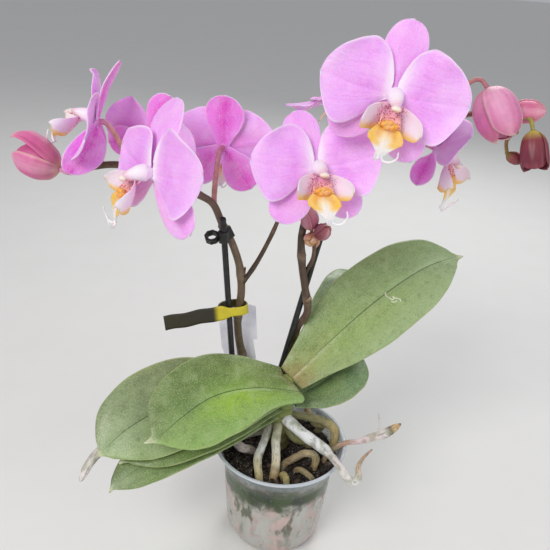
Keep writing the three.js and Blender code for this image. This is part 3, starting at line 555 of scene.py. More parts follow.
def build_pot():
    heights = np.concatenate([[0, 0.4, 1, 1.8, 3, 4.5, 6.5, 9, 12], np.linspace(15, 56, 20),
                              np.linspace(57.5, 74, 14)])
    outside = list(zip(pot_radius(heights), heights))
    lip = [(RIM_RADIUS + dr, POT_HEIGHT + dz) for dr, dz in (
        (-0.35, -1.7), (0, -1), (0, -0.5), (-0.3, 0), (-1.9, 0), (-2.2, -0.4))]
    inside = [(r - WALL, z) for r, z in outside[::-1] if z > 4]
    edge = float(pot_radius(3)) - WALL
    profile = ([(r, 0.0) for r in (0, 8, 16, 22)] + outside + lip + inside
               + [(edge, FLOOR + 1), (edge - 0.6, FLOOR), (16, FLOOR), (0, FLOOR)])
    pot = make("pot_wall", *lathe(profile, 96), "pot", "clear_pot", POT)
    boxes = Shape()
    for k in range(6):
        a = TAU * (k + 0.25) / 6
        along = np.array([math.cos(a), math.sin(a), 0])
        across = np.array([-math.sin(a), math.cos(a), 0])
        boxes.add([(BASE_RADIUS + 3.5 + dx * 3.5) * along + dy * 2.1 * across
                   + [0, 0, 0.4 + dz * 3.0]
                   for dx in (-1, 1) for dy in (-1, 1) for dz in (-1, 1)],
                  ((0, 1, 3, 2), (4, 6, 7, 5), (0, 4, 5, 1), (2, 3, 7, 6), (0, 2, 6, 4),
                   (1, 5, 7, 3)))
    cutter = linked("slots", mesh_of("slots", boxes.points, boxes.faces))
    modifier = pot.modifiers.new("slots", "BOOLEAN")
    modifier.operation, modifier.object, modifier.solver = "DIFFERENCE", cutter, "EXACT"
    graph = bpy.context.evaluated_depsgraph_get()
    mesh = bpy.data.meshes.new_from_object(pot.evaluated_get(graph))
    pot.modifiers.clear()
    pot.data = mesh
    bpy.data.objects.remove(cutter)


def bark_top(x, y):
    chip = (np.sin(x * 0.62 + 1.3) * np.cos(y * 0.71 + 0.4) + 0.6 * np.sin(x * 1.13 - y * 0.94))
    return MEDIUM_TOP - 1.2 + chip


def chip_solid(draw, size):
    """One bark chip: a rough block with broken corners."""
    points, faces = ball(1, 5, 7)
    points = np.sign(points) * np.abs(points) ** 0.6
    points += draw.normal(0, 0.13, points.shape)
    points *= size * draw.uniform([0.8, 0.5, 0.28], [1.3, 0.85, 0.5])
    a, b, c = draw.uniform(-math.pi, math.pi), draw.normal(0, 0.45), draw.normal(0, 0.45)
    return points @ turned((a, "Z"), (b, "X"), (c, "Y")).T, faces


def turned(*turns):
    """The matrix of turns by (radians, axis), of which the last is made first."""
    spin = Matrix.Identity(3)
    for angle, axis in turns:
        spin = spin @ Matrix.Rotation(angle, 3, axis)
    return np.array(spin)


def build_bark():
    heights = [FLOOR + GAP, 4, 6, 9, 12, 18, 24, 30, 36, 42, 48, 54, 58, 61, 63.5, 65]
    profile = ([(0.0, FLOOR + GAP)] + [(pot_radius(max(z, 3)) - WALL - 0.5, z) for z in heights]
               + [(r, 65.0) for r in (34, 29, 24, 19, 14, 9, 4, 0)])
    points, faces = lathe(profile, 72)
    radius = np.hypot(points[:, 0], points[:, 1])
    top = (points[:, 2] > 64) & (radius < 35)
    points[top, 2] = bark_top(points[top, 0], points[top, 1]) - 0.6
    dent = np.clip(noise3(points, 3, 7.0), -1, 0) * 1.1
    ring = radius > 20
    points[ring, :2] *= (1 + dent[ring] / radius[ring])[:, None]
    make("bark_fill", points, faces, "bark_medium", "bark", FILL)
    draw = np.random.default_rng(11)
    shape = Shape()
    for _ in range(CHIP_COUNT):
        angle, share = draw.uniform(0, TAU), math.sqrt(draw.uniform(0, 1))
        x, y = (MEDIUM_RADIUS * share * way(angle) for way in (math.cos, math.sin))
        size = draw.uniform(1.1, 3.6)
        centre = np.array([x, y, bark_top(x, y) + draw.uniform(-1.4, 0.7)])
        chip, chip_faces = chip_solid(draw, size)
        chip = chip + centre
        reach = np.hypot(chip[:, 0], chip[:, 1])
        limit = pot_radius(np.clip(chip[:, 2], 1, 76)) - WALL - 0.4
        over = reach > limit
        chip[over, :2] *= (limit[over] / reach[over])[:, None]
        shape.add(chip, chip_faces)
    shape.make("bark_chips", None, "bark", BARK, smooth=False)


# -------------------- stem and roots

STEM_ROUTE = [[-1, 6, 58], [-1, 6, 80], [0, 7, 100], [0, 8, 117]]

SILVER, TAN, BROWN = 0xECEEEA, 0xAC986E, 0x705436
WHITE_ROOT, PINK_ROOT = 0xF0F2F0, 0xDECCCE
# route, {place: radius}, roughness of the skin's outline, and {place: colour} from the stem
# outwards
ROOTS = {
    "root_silver": ([[3, 2, 91], [15, -6, 86], [26, -12, 82.5], [32, -18, 81.5], [38, -29, 82],
        [43, -34, 78], [47.5, -34.5, 75], [50.5, -31, 76], [51, -24, 78], [55, -16, 79],
        [61, -9, 80]], {0: 3.9, 0.35: 3.7, 0.42: 2.5, 0.7: 2.4, 0.78: 1.7, 0.9: 1.1, 1: 0.6}, 0.05,
        {0: WHITE_ROOT, 0.36: WHITE_ROOT, 0.45: 0xE2D8D4, 0.7: 0xE8E6DE, 0.78: 0xCCB292,
        1: 0xBA9282}),
    "root_front": ([[-2, 0, 87], [-3, -10, 81], [-2, -20, 74], [-3, -28, 62]],
        {0: 3.0, 0.6: 3.0, 1: 3.2}, 0.07,
        {0: 0xB0B48A, 0.4: 0xE2DECE, 0.7: 0xD6CAA8, 0.85: 0xA08456, 1: BROWN}),
    "root_front_left": ([[-7, 3, 86], [-11, -9, 79], [-14, -16, 71.5], [-13, -25, 69],
        [-11, -31, 61]], {0: 2.6, 1: 2.9}, 0.07,
        {0: 0xB4B28E, 0.4: SILVER, 0.65: 0xDED8B6, 0.85: 0xCEBA82, 1: BROWN}),
    "root_left": ([[-6, 5, 78], [-19, 4, 75.5], [-30, -3, 74], [-25, -9, 73], [-19, -6, 69],
        [-16, -3, 60]], {0: 2.5, 0.6: 3.1, 1: 2.4}, 0.08,
        {0: 0xC4BEA2, 0.35: 0xCECABE, 0.6: PINK_ROOT, 0.8: 0xCEBEAC, 1: TAN}),
    "root_green": ([[3, 3, 84], [10, 0, 77], [18, 4, 70], [24, 8, 60]], {0: 2.8, 1: 2.6}, 0.06,
        {0: 0x6C7C3E, 0.5: 0x9E9854, 0.8: TAN, 1: BROWN}),
    "root_curly": ([[1, -19, 62], [4, -17.5, 70], [10, -14.5, 72.5], [17, -11, 74],
        [24, -11, 72.5], [24, -16, 70], [22, -17.5, 61]], {0: 2.3, 0.6: 2.5, 1: 2.0}, 0.16,
        {0: BROWN, 0.25: 0x8C704A, 0.45: 0xCEB886, 0.62: 0xE2CEA6, 0.8: 0xB2945C, 1: BROWN}),
    "root_loop": ([[11, -20, 61], [13, -21, 69], [17.5, -25, 70.5], [21.5, -26.5, 68.5],
        [22.5, -24.5, 61]], {0: 2, 1: 1.8}, 0.16,
        {0: BROWN, 0.5: 0xB49864, 0.7: 0xCCB88C, 1: BROWN}),
    "root_stub": ([[1, -25, 61], [3, -26, 68.5], [5, -30, 69.5], [5.5, -34, 66], [5.5, -35, 61]],
        {0: 1.9, 0.6: 2.1, 1: 1.3}, 0.1, {0: BROWN, 0.4: 0xCEBA6C, 0.7: 0xB49E54, 1: BROWN}),
    "root_back_right": ([[18, 26, 82], [21, 22, 78], [25.5, 19.5, 74.5], [29, 19.5, 74],
        [29, 22, 70], [24.5, 21.5, 61]], {0: 2.4, 1: 2.5}, 0.1,
        {0: 0xD6B294, 0.2: 0xC4B078, 0.6: 0x9C9458, 1: BROWN}),
    "root_right": ([[5, 11, 88], [18, 16, 83], [32, 15, 80], [37.5, 11, 77], [37, 4, 71],
        [33, 2, 60]], {0: 2.4, 0.5: 3, 1: 2.6}, 0.07,
        {0: 0x7E824A, 0.45: 0xB2AA74, 0.6: 0xCEB876, 0.85: 0xBEA05A, 1: BROWN}),
    "root_free_right": ([[29, -8, 60], [32, -7, 70], [38, -6, 77.5], [45, -5, 81], [53, -3, 81],
        [62, 2, 81], [70, 4, 83], [77, 8, 85], [82, 12, 86]],
        {0: 2, 0.45: 1.6, 0.6: 2.5, 0.85: 3.1, 0.93: 2.5, 1: 0.9}, 0.06, {0: TAN, 0.4: 0xBA9684,
        0.5: 0xE6CECE, 0.8: 0xE0D8D4, 0.86: 0x706A4E, 0.9: 0xDEBC8C, 0.97: 0xCEA678, 1: 0x68422E}),
    "root_far_left": ([[-5, 9, 84], [-30, 4, 83], [-62, -3, 85], [-95, -17, 84], [-111, -30, 83],
        [-117, -40, 80], [-120, -50, 75]], {0: 2.6, 0.5: 2.8, 0.85: 3.1, 0.95: 2.6, 1: 1.4}, 0.06,
        {0: 0x968C6E, 0.7: 0xCEC4B8, 1: 0xF6EEEA}),
}
TAN_ROOTS = ("root_green", "root_curly", "root_loop", "root_stub", "root_back_right",
             "root_right")
ROOTLET = [[67, 6, 81], [68, 15, 86], [67, 19, 92]]


def build_stem():
    u = np.linspace(0, 1, 60)
    radius = 5.6 + 1.6 * np.sin(np.pi * np.minimum(1, 0.25 + 0.7 * u))

    def wobble(where, turn):
        rings = 0.05 * np.sin(where * 0.95) + 0.04 * np.sin(where * 0.31 + turn * 2)
        return rings + 0.05 * np.sin(turn * 3 + where * 0.12)

    points, faces, (along, _) = tube(Curve(STEM_ROUTE).at(u), radius, 36, wobble)
    tint = colour_along({0: 0x605034, 0.4: 0x84804A, 0.8: 0x80964E, 1: 0x96B05C},
                        along / along.max())
    tint = mixed(tint, 0x705434, 0.6 * (np.sin(along * 0.95) > 0.86))
    make("stem", points, faces, "stem_base", "stem", STEM, tint=tint)


def build_roots():
    for number, (name, (route, radius, rough, colours)) in enumerate(ROOTS.items()):
        curve = Curve(route)
        u = np.linspace(0, 1, max(30, int(curve.length / 0.8)) + 1)
        r = through(radius, u) * (1 + 0.06 * noise3(curve.at(u), number, 6.0))

        def wobble(where, turn):
            place = curve.at(where / curve.length)
            around = np.stack([np.cos(turn), np.sin(turn), 0 * turn], -1) * 3
            return (0.04 * np.sin(2 * turn + where * 0.22 + number)
                    + rough * noise3(place + around, number + 3, 2.4))

        points, faces, (along, turn) = tube(curve.at(u), r, 26, wobble)
        patch = noise3(points, number + 5, 5.0)
        tint = layered(colour_along(colours, along / along.max()),
                       (0x808854, np.clip(patch * 1.3 - 0.35, 0, 0.45)),
                       (0x785C42, np.clip(-patch * 1.4 - 0.6, 0, 0.5)),
                       (0x7C725A, 0.4 * (name in TAN_ROOTS)))
        streaks = np.stack([along * 0.14 + number * 9, np.cos(turn) * 2.4, np.sin(turn) * 2.4], 1)
        shape = Shape()
        shape.add(points, faces, tint=tint, vein=streaks)
        if name == "root_free_right":
            u = np.linspace(0, 1, 30)
            points, faces, _ = tube(Curve(ROOTLET).at(u), 0.85 - 0.45 * u, 10)
            shape.add(points, faces, tint=0xE2DCD6, vein=[0, 0, 0])
        slot = "tan_root" if name in TAN_ROOTS else "silver_root"
        shape.make(name + "_skin", name, slot, ROOT)


# -------------------- leaves

LEAF_OUTLINE = {0: 0.36, 0.12: 0.54, 0.3: 0.84, 0.5: 1, 0.7: 0.95, 0.88: 0.7, 1: 0.34}
CLASP_WAY = np.array([0.84, -0.5, -0.2])
CLASP_MIDDLE, CLASP_HALF = -0.33, 0.72
TIP_START = 0.968

# rib, side directions, width, fold, wrap, the pointed tip's reach, then the colours from the
# base to the tip, those of the upper (s = 1) and lower margins, and of the glow by the rib
LEAVES = {
    "leaf_front_left": ([[-1, 4, 120], [-25, -7, 122], [-45, -22, 123], [-60, -39, 120],
        [-73, -56, 115]], [[-0.1, 0.85, 0.5], [-0.3, 0.8, 0.5]], 54, 0.16, 15, [-6, -1, -1],
        {0: 0x708A42, 0.3: 0x78983E, 0.6: 0x76984E, 0.85: 0x80A05C, 1: 0x8CA668}, 0x5E703C,
        0x92B660, 0x92BE24),
    "leaf_far_left": ([[-4, 8, 109], [-36, -9, 113], [-66, -20, 115], [-92, -38, 108],
        [-107, -52, 98]], [[-0.2, 0.85, 0.45], [-0.4, 0.7, 0.6]], 58, 0.14, 0, [-0.5, -0.5, -1],
        {0: 0x46582C, 0.4: 0x607642, 0.6: 0x8A9C70, 1: 0xA2B68C}, 0x7C8A60, 0x90A668, 0x7E9654),
    # its dark colours towards the base are painted shade under the leaves above
    "leaf_middle_left": ([[-4, 6, 102], [-30, -9, 104], [-57, -24, 102], [-80, -38, 97],
        [-94, -48, 91]], [[-0.3, 0.85, 0.3], [-0.4, 0.8, 0.4]], 44, 0.12, 0, [-2, -2, -1],
        {0: 0x34441E, 0.4: 0x425826, 0.6: 0x5C7438, 1: 0x849862}, 0x4A5C2E, 0x688242, 0x5C7634),
    # its dark colours towards the base are painted shade under the leaves above
    "leaf_low_left": ([[-4, 5, 95], [-30, -11, 95], [-56, -27, 93], [-80, -44, 88],
        [-99, -61, 81]], [[-0.3, 0.85, 0.3], [-0.4, 0.8, 0.4]], 32, 0.12, 0, [0, -1, -2],
        {0: 0x2E3C1A, 0.4: 0x3C5222, 0.62: 0x607A3E, 0.85: 0x8A9E70, 1: 0xACBA98}, 0x566838,
        0x6E864A, 0x54702C),
    "leaf_right": ([[4, 8, 120], [31, 23, 146], [60, 40, 169], [90, 56, 186], [113, 66, 192]],
        [[-0.3, 0.4, 0.86], [-0.55, 0.6, 0.5]], 56, 0.1, 0, [3.5, -0.5, 0.5],
        {0: 0xA08E54, 0.1: 0x969A54, 0.3: 0x8CA45A, 0.6: 0x96B074, 0.85: 0x9EB886, 1: 0xB0C69C},
        0x849E64, 0x9EB480, 0x92AC60),
    "leaf_back": ([[7, 13, 115], [25.5, 35, 130], [37, 60, 145], [47, 87, 154], [55, 109, 153]],
        [[-0.8, 0.3, 0.3], [-0.85, 0.3, 0.3]], 44, 0.1, 0, [1, 2, -1],
        {0: 0x566234, 0.5: 0x708856, 1: 0x869E76}, 0x809870, 0x6A824C, 0x6E884E),
    "leaf_low_right": ([[5, 9, 103], [20, 17, 107], [32, 25, 112], [43, 34, 117], [53, 43, 120]],
        [[-0.3, 0.85, 0.3], [-0.5, 0.8, 0.25]], 44, 0.12, 0, [2, 1, 0],
        {0: 0x465428, 0.3: 0x566C3A, 0.6: 0x6A8458, 1: 0x809A74}, 0x708A60, 0x6A8660, 0x64804E),
}
# a pale scar on the right leaf: places (t, s) on its blade
SCARS = ([[0.589, 0.03], [0.581, -0.05], [0.586, -0.137], [0.591, -0.211], [0.602, -0.224],
         [0.602, -0.157], [0.609, -0.231], [0.622, -0.318], [0.619, -0.371]],
         [[0.584, -0.24], [0.592, -0.29], [0.606, -0.3]])


def leaf_surface(rib, sides, width, fold, wrap, point, seed):
    curve = Curve(rib)
    first, last = np.array(sides, float)

    def surface(t, s):
        u = clamp(t)
        tangent = curve.tangent(u)
        side = first + (last - first) * u[..., None]
        side = unit(side - tangent * np.sum(side * tangent, -1, keepdims=True))
        normal = upwards(unit(np.cross(side, tangent)))
        ending = np.maximum(0, (u - TIP_START) / (1 - TIP_START))
        half = width / 2 * through(LEAF_OUTLINE, u) * rounded(u, 0.84, 0.015)
        half = half * (1 - 0.7 * ending)
        wave = 0.03 * np.sin(9 * u + 2 * s) * half * s * s
        soft = np.sqrt(s * s + 0.0025) - 0.05
        rise = fold * half * soft - 0.1 * half * s * s + wave
        ripple = (0.35 * np.sin(23 * u + seed) * np.sin(2.4 * s + seed)
                  + 0.3 * np.sin(41 * u + 5 * s + seed) * s * s)
        grooves = -0.75 * bell(s * half, 1.3) - 0.16 * bell((np.abs(s) - 0.52) * half, 1.6)
        clasp = wrap * np.sqrt(np.maximum(0, 1 - ((s - CLASP_MIDDLE) / CLASP_HALF) ** 2))
        height = rise + ripple * 0.6 + grooves * np.minimum(1, (1 - u) * 6)
        return (curve.at(u) + side * (half * s)[..., None] + normal * height[..., None]
                + CLASP_WAY * (clasp * (1 - u) ** 5)[..., None]
                + np.array(point) * (ending ** 2)[..., None])

    return surface


def upwards(normal):
    """The normals, turned over where they point down."""
    return np.where(normal[..., 2:] < 0, -normal, normal)


def leaf_thickness(t, s):
    edge, tip = np.minimum(1, (1 - np.abs(s)) / 0.35), np.minimum(1, (1 - t) / 0.12)
    return 0.75 + 1.15 * np.sqrt(edge) * np.sqrt(tip)


def closer(t):
    """Brings the rows of a blade's mesh closer together towards its tip."""
    return 1 - (1 - t) ** 1.35


def build_leaves():
    for seed, (name, entry) in enumerate(LEAVES.items()):
        rib, sides, width, fold, wrap, point, colours, upper, lower, glow = entry
        surface = leaf_surface(rib, sides, width, fold, wrap, point, seed)
        along = np.array(rib[2], float) - rib[0]
        way = 1 if np.cross(along, sides[0])[2] > 0 else -1
        points, faces, (t, s, side) = sheet(lambda t, s: surface(closer(t), way * s), 120, 48,
                                            leaf_thickness)
        t, s = closer(t), s * way
        cloud, blotch = noise3(points, seed, 15.0), noise3(points, seed + 4, 5.0)
        layers = [
            (upper, clamp(s + 0.2 * cloud) ** 0.7 * 0.85),
            (lower, clamp(-s * 1.1 - 0.1 + 0.2 * cloud) * 0.85),
            (glow, 0.8 * bell(s + 0.28 + 0.1 * cloud, 0.26) * bell(t - 0.42, 0.28)),
            (mixed(upper, 0x464C28, 0.3), 0.32 * clamp(blotch * 1.4 - 0.3 + 0.5 * s)),
            (0xC4D2A0, 0.25 * clamp(-blotch * 1.5 - 0.35))]
        if wrap:
            layers += [(0x8EB070, 0.6 * clamp((0.1 - t) / 0.1) * (s < 0.2)),
                       (0x7A543C, 0.7 * bell(t, 0.035) * bell(s - 0.3, 0.35))]
        if name == "leaf_right":
            layers.append((0x967042, 0.6 * clamp((0.13 - t) / 0.1) * clamp(0.7 + blotch)))
        layers += [(0xE2DEBE, clamp((t - 0.982) / 0.012) * 0.8), (0x889E60, 0.4 * (side < 0))]
        shape = Shape()
        shape.add(points, faces, tint=layered(colour_along(colours, t), *layers),
                  vein=np.stack([t * width, s, side], 1))
        if name == "leaf_right":
            for scar in SCARS:
                add_scar(shape, surface, scar)
        shape.make(name + "_blade", name, "young_leaf" if wrap else "leaf", LEAF)


def add_scar(shape, surface, scar):
    """A thin raised pale thread healed into the leaf's upper face."""
    place = Curve([[t * 100, s * 20, 0] for t, s in scar]).at(np.linspace(0, 1, 50))
    t, s = place[:, 0] / 100, place[:, 1] / 20
    along = surface(t + 0.01, s) - surface(t - 0.01, s)
    across = surface(t, s + 0.02) - surface(t, s - 0.02)
    normal = upwards(unit(np.cross(along, across)))
    points, faces, _ = tube(surface(t, s) + normal * 0.9, 0.42, 8)
    shape.add(points, faces, tint=0xE8EACE, vein=[0, 0.5, 1])


# -------------------- blooms

PETAL_UPPER = {0: 0.28, 0.03: 0.52, 0.1: 0.82, 0.2: 1.02, 0.34: 1.12, 0.5: 1.03, 0.65: 0.87,
               0.82: 0.68, 1: 0.5}
PETAL_LOWER = {0: 0.12, 0.1: 0.2, 0.25: 0.46, 0.4: 0.72, 0.55: 0.9, 0.66: 0.95, 0.78: 0.88,
               0.9: 0.72, 1: 0.6}
SEPAL_OUTLINE = {0: 0.3, 0.2: 0.56, 0.45: 0.9, 0.62: 1, 1: 1}
CORE_RADIUS, CORE_FLATNESS = 3.0, 0.75
WHITE, YELLOW, ORANGE = 0xFBF6FA, 0xFCC438, 0xFCA012

# turns: degrees from the top of the right petal, the left petal, the dorsal sepal and the two
# lower sepals; sweep, sizes, twists: how far each bends forwards, its size, and how far it
# turns about its own length; broad: how broad the sepals are; lip: its size, how far it is
# turned aside, up and round, and how far its tip swings aside
Flower = namedtuple("Flower", "name at face roll width turns sweep sizes twists broad lip")
FLAT, EVEN, STRAIGHT = (0.06, 0.06, 0.02, 0, 0), (1, 1, 1, 1, 1), (0, 0, 0, 0, 0)
FLOWERS = [
    Flower("bloom_top_right", [37, -24, 311], [-0.16, -0.98, 0.12], -11, 69,
           [89, -95, -3, 147, -135], FLAT, EVEN, STRAIGHT, 1, [1, 16, 0, 0, 1]),
    Flower("bloom_centre", [5, -13, 269], [-0.05, -0.95, 0.32], 22, 66, [101, -73, -6, 155, -126],
           [0.06, 0.06, -0.2, 0, 0], [1, 1, 1, 1, 1.08], STRAIGHT, 1, [1.04, 18, 0, -17, 5]),
    Flower("bloom_front_left", [-78, -26, 263], [-0.66, -0.72, 0.2], -20, 71,
           [66, -101, -26, 106, -143], [-0.05, -0.05, -0.28, -0.05, -0.05],
           [1, 0.84, 1.12, 1.12, 1], STRAIGHT, 1, [1.04, -20, 0, 6, 0]),
    Flower("bloom_far_left", [-118, 14, 278], [-0.99, -0.06, 0.08], 0, 62,
           [100, -60, -8, 141, -152], [-0.1, 0.1, -0.28, 0.31, 0], [1, 1, 1.12, 1.08, 1],
           [-16, 0, 0, 58, 0], 1.05, [1.06, 0, 37, 0, -7]),
    Flower("bloom_back_left", [-92, 30, 268], [0.3, 0.94, 0.1], 36, 58, [124, -86, 0, 143, -143],
           FLAT, [1.04, 1, 1.06, 1, 1], STRAIGHT, 1.1, [1, 0, 0, 0, 0]),
    Flower("bloom_back_centre", [-51, 54, 259], [0.1, 0.98, 0.1], 5, 65, [88, -76, 0, 139, -137],
           [-0.08, -0.08, -0.05, -0.05, -0.05], [1, 1, 1.04, 1, 1], STRAIGHT, 1.22,
           [1, 0, -10, 0, 0]),
    Flower("bloom_right", [74.5, 24, 275], [0.85, -0.35, -0.3], 0, 52, [76, -52, 0, 143, -150],
           [0.35, 0.5, 0.5, 0.2, 0.05], [1, 1, 0.75, 1, 0.92], [0, 0, 0, 0, -55], 1.15,
           [1.45, -10, 16, 0, 0]),
    Flower("bloom_hidden", [17, 57, 293], [0.1, -0.15, -0.98], 180, 60, [94, -94, 0, 143, -143],
           FLAT, [1, 1, 1, 0.8, 1], [7, 0, 0, 0, 0], 1, [0.85, 0, 0, 0, 0]),
]


def flower_frame(flower):
    """Axes of a bloom: z the way it faces, y towards its top."""
    z = unit(flower.face)
    y = np.array([0, -1, 0] if abs(z[2]) > 0.95 else [0, 0, 1])
    y = unit(y - z * (y @ z))
    x = np.cross(y, z)
    a = math.radians(flower.roll)
    return np.stack([x * math.cos(a) + y * math.sin(a), y * math.cos(a) - x * math.sin(a), z], 1)


def seeded(seed):
    """The draws from 0 to 1 that the part's own script makes, too."""
    state = seed * 7919 + 17
    while True:
        state = state * 16807 % 2147483647
        yield state / 2147483647


def tepal_surface(turn, reach, width, bend, twist, draw, petal, up):
    out = np.array([math.sin(turn), math.cos(turn), 0])
    side = np.array([math.cos(turn), -math.sin(turn), 0])
    front = np.array([0, 0, 1.0])
    root, lift = 1.2, 0.9 if petal else -0.7
    phase, frill = draw.uniform(0, 6.28), draw.uniform(0.6, 1.2)
    lean = up * 0.1 if petal else draw.normal(0, 0.03)

    def surface(t, s):
        if petal:
            outline = np.where(s * up > 0, through(PETAL_UPPER, t), through(PETAL_LOWER, t))
        else:
            outline = through(SEPAL_OUTLINE, t)
        half = width / 2 * outline * rounded(t, 0.7 if petal else 0.6, 0.02, 2.1)
        offset = half * s
        if petal:
            height = ((0.12 + 0.1 * np.sin(7 * t + 3 * s)) * s * s * half
                      + frill * (0.5 * np.sin(15 * t + 4 * s + phase) * np.abs(s) ** 3
                                 + 0.35 * np.sin(5 * s + phase) * t ** 3)
                      - 0.5 * bell(offset, 1.4) * (1 - t) * t * 4
                      + 0.9 * np.sin(math.pi * t) * (1 - s * s))
        else:
            height = (-0.1 * s * s * half + 0.55 * bell(offset, 1.2) * (1 - t)
                      + frill * 0.3 * np.sin(11 * t + 3 * s + phase) * s * s
                      - 0.36 * np.maximum(0, t - 0.8) ** 2 * reach)
        x = root + (reach - root) * t
        angle = math.radians(twist) * through({0: 0.1, 0.35: 1, 1: 1}, t)[..., None]
        across = side * np.cos(angle) - front * np.sin(angle)
        above = front * np.cos(angle) + side * np.sin(angle)
        return (out * x[..., None] + side * (lean * x * t)[..., None]
                + front * (lift + bend * t * t * reach)[..., None]
                + across * offset[..., None] + above * height[..., None])

    return surface


def tepal_colours(t, s, side, petal, dorsal):
    """Front: pale base, pink body, paler margin. Back: a magenta midrib and pale rims."""
    edge = 1 - np.maximum(np.abs(s), clamp((t - 0.75) / 0.25) ** 1.5)
    if petal:
        front = colour_along({0: 0xFEF4FE, 0.07: 0xFCE4FA, 0.15: 0xF2BCF6, 0.3: 0xEA9AF0,
                              0.7: 0xEEA8F6, 1: 0xF7C4FB}, t)
        front = mixed(front, 0xD870E2, 0.3 * bell(s + 0.05, 0.24) * bell(t - 0.34, 0.2))
        back = mixed(0xEEB0F3, 0xE682E0, bell(s, 0.35) * (1 - 0.8 * t))
    else:
        front = mixed(0xFBDEF9, 0xF6AEF8 if dorsal else 0xF4AAF4, clamp(t / 0.22))
        front = mixed(front, 0xE270E0, 0.45 * bell(s, 0.32) * (1 - t * 0.6))
        back = mixed(0xFA8CF0, 0xE842D0, bell(s, 0.5))
        back = mixed(back, 0xC82CB2, 0.4 * bell(s, 0.05))
    front = mixed(front, 0xF9E2FA, 0.85 * clamp(1 - edge / 0.07))
    back = mixed(back, 0xF6CEF2, 0.8 * clamp(1 - edge / 0.09))
    return np.where((side > 0)[:, None], front, back), edge


def build_tepals(flower, seed):
    matrix, draws = flower_frame(flower).T, seeded(seed)
    draw = np.random.default_rng(seed)
    shape = Shape()
    for i, degrees in enumerate(flower.turns):
        turn = math.radians(degrees + 2 * (next(draws) - 0.5))
        bend = flower.sweep[i] + 0.04 * (next(draws) - 0.5)
        petal, size = i < 2, flower.sizes[i] * flower.width
        reach, wide = (0.52 * size, 0.6 * size) if petal else (0.49 * size,
                                                               0.3 * size * flower.broad)
        surface = tepal_surface(turn, reach, wide, bend, flower.twists[i], draw, petal,
                                -1 if i == 0 else 1)

        def thickness(t, s):
            edge = np.minimum(1, (1 - np.abs(s)) / 0.5)
            return (0.4 if petal else 0.5) + 0.7 * edge * (1 - 0.6 * t)

        points, faces, (t, s, side) = sheet(lambda t, s: surface(t ** 1.3, -s),
                                            *((60, 46) if petal else (42, 28)), thickness)
        t = t ** 1.3
        half = wide / 2 * np.maximum(0.25, through(PETAL_LOWER, t))
        angle = np.arctan2(half * s, reach * t + (2.5 if petal else 6.0))
        tint, edge = tepal_colours(t, s, side, petal, i == 2)
        strength = np.where((side > 0) | petal, 0.1, 0.24)
        shape.add(points @ matrix + flower.at, faces, tint=tint,
                  vein=np.stack([angle, t, edge], 1),
                  kind=np.stack([side, strength, np.full(len(t), draw.uniform())], 1))
    core, faces = ball([CORE_RADIUS, CORE_RADIUS, CORE_RADIUS * CORE_FLATNESS], 12, 20)
    shape.add(core @ matrix + flower.at, faces, vein=[0, 0, 0], kind=[0, 0, 0],
              tint=mixed(0xE878CE, 0xFCECFA, clamp(core[:, 2] + 0.5)))
    shape.make(flower.name + "_petals", flower.name + "_tepals", "tepal", TEPAL)


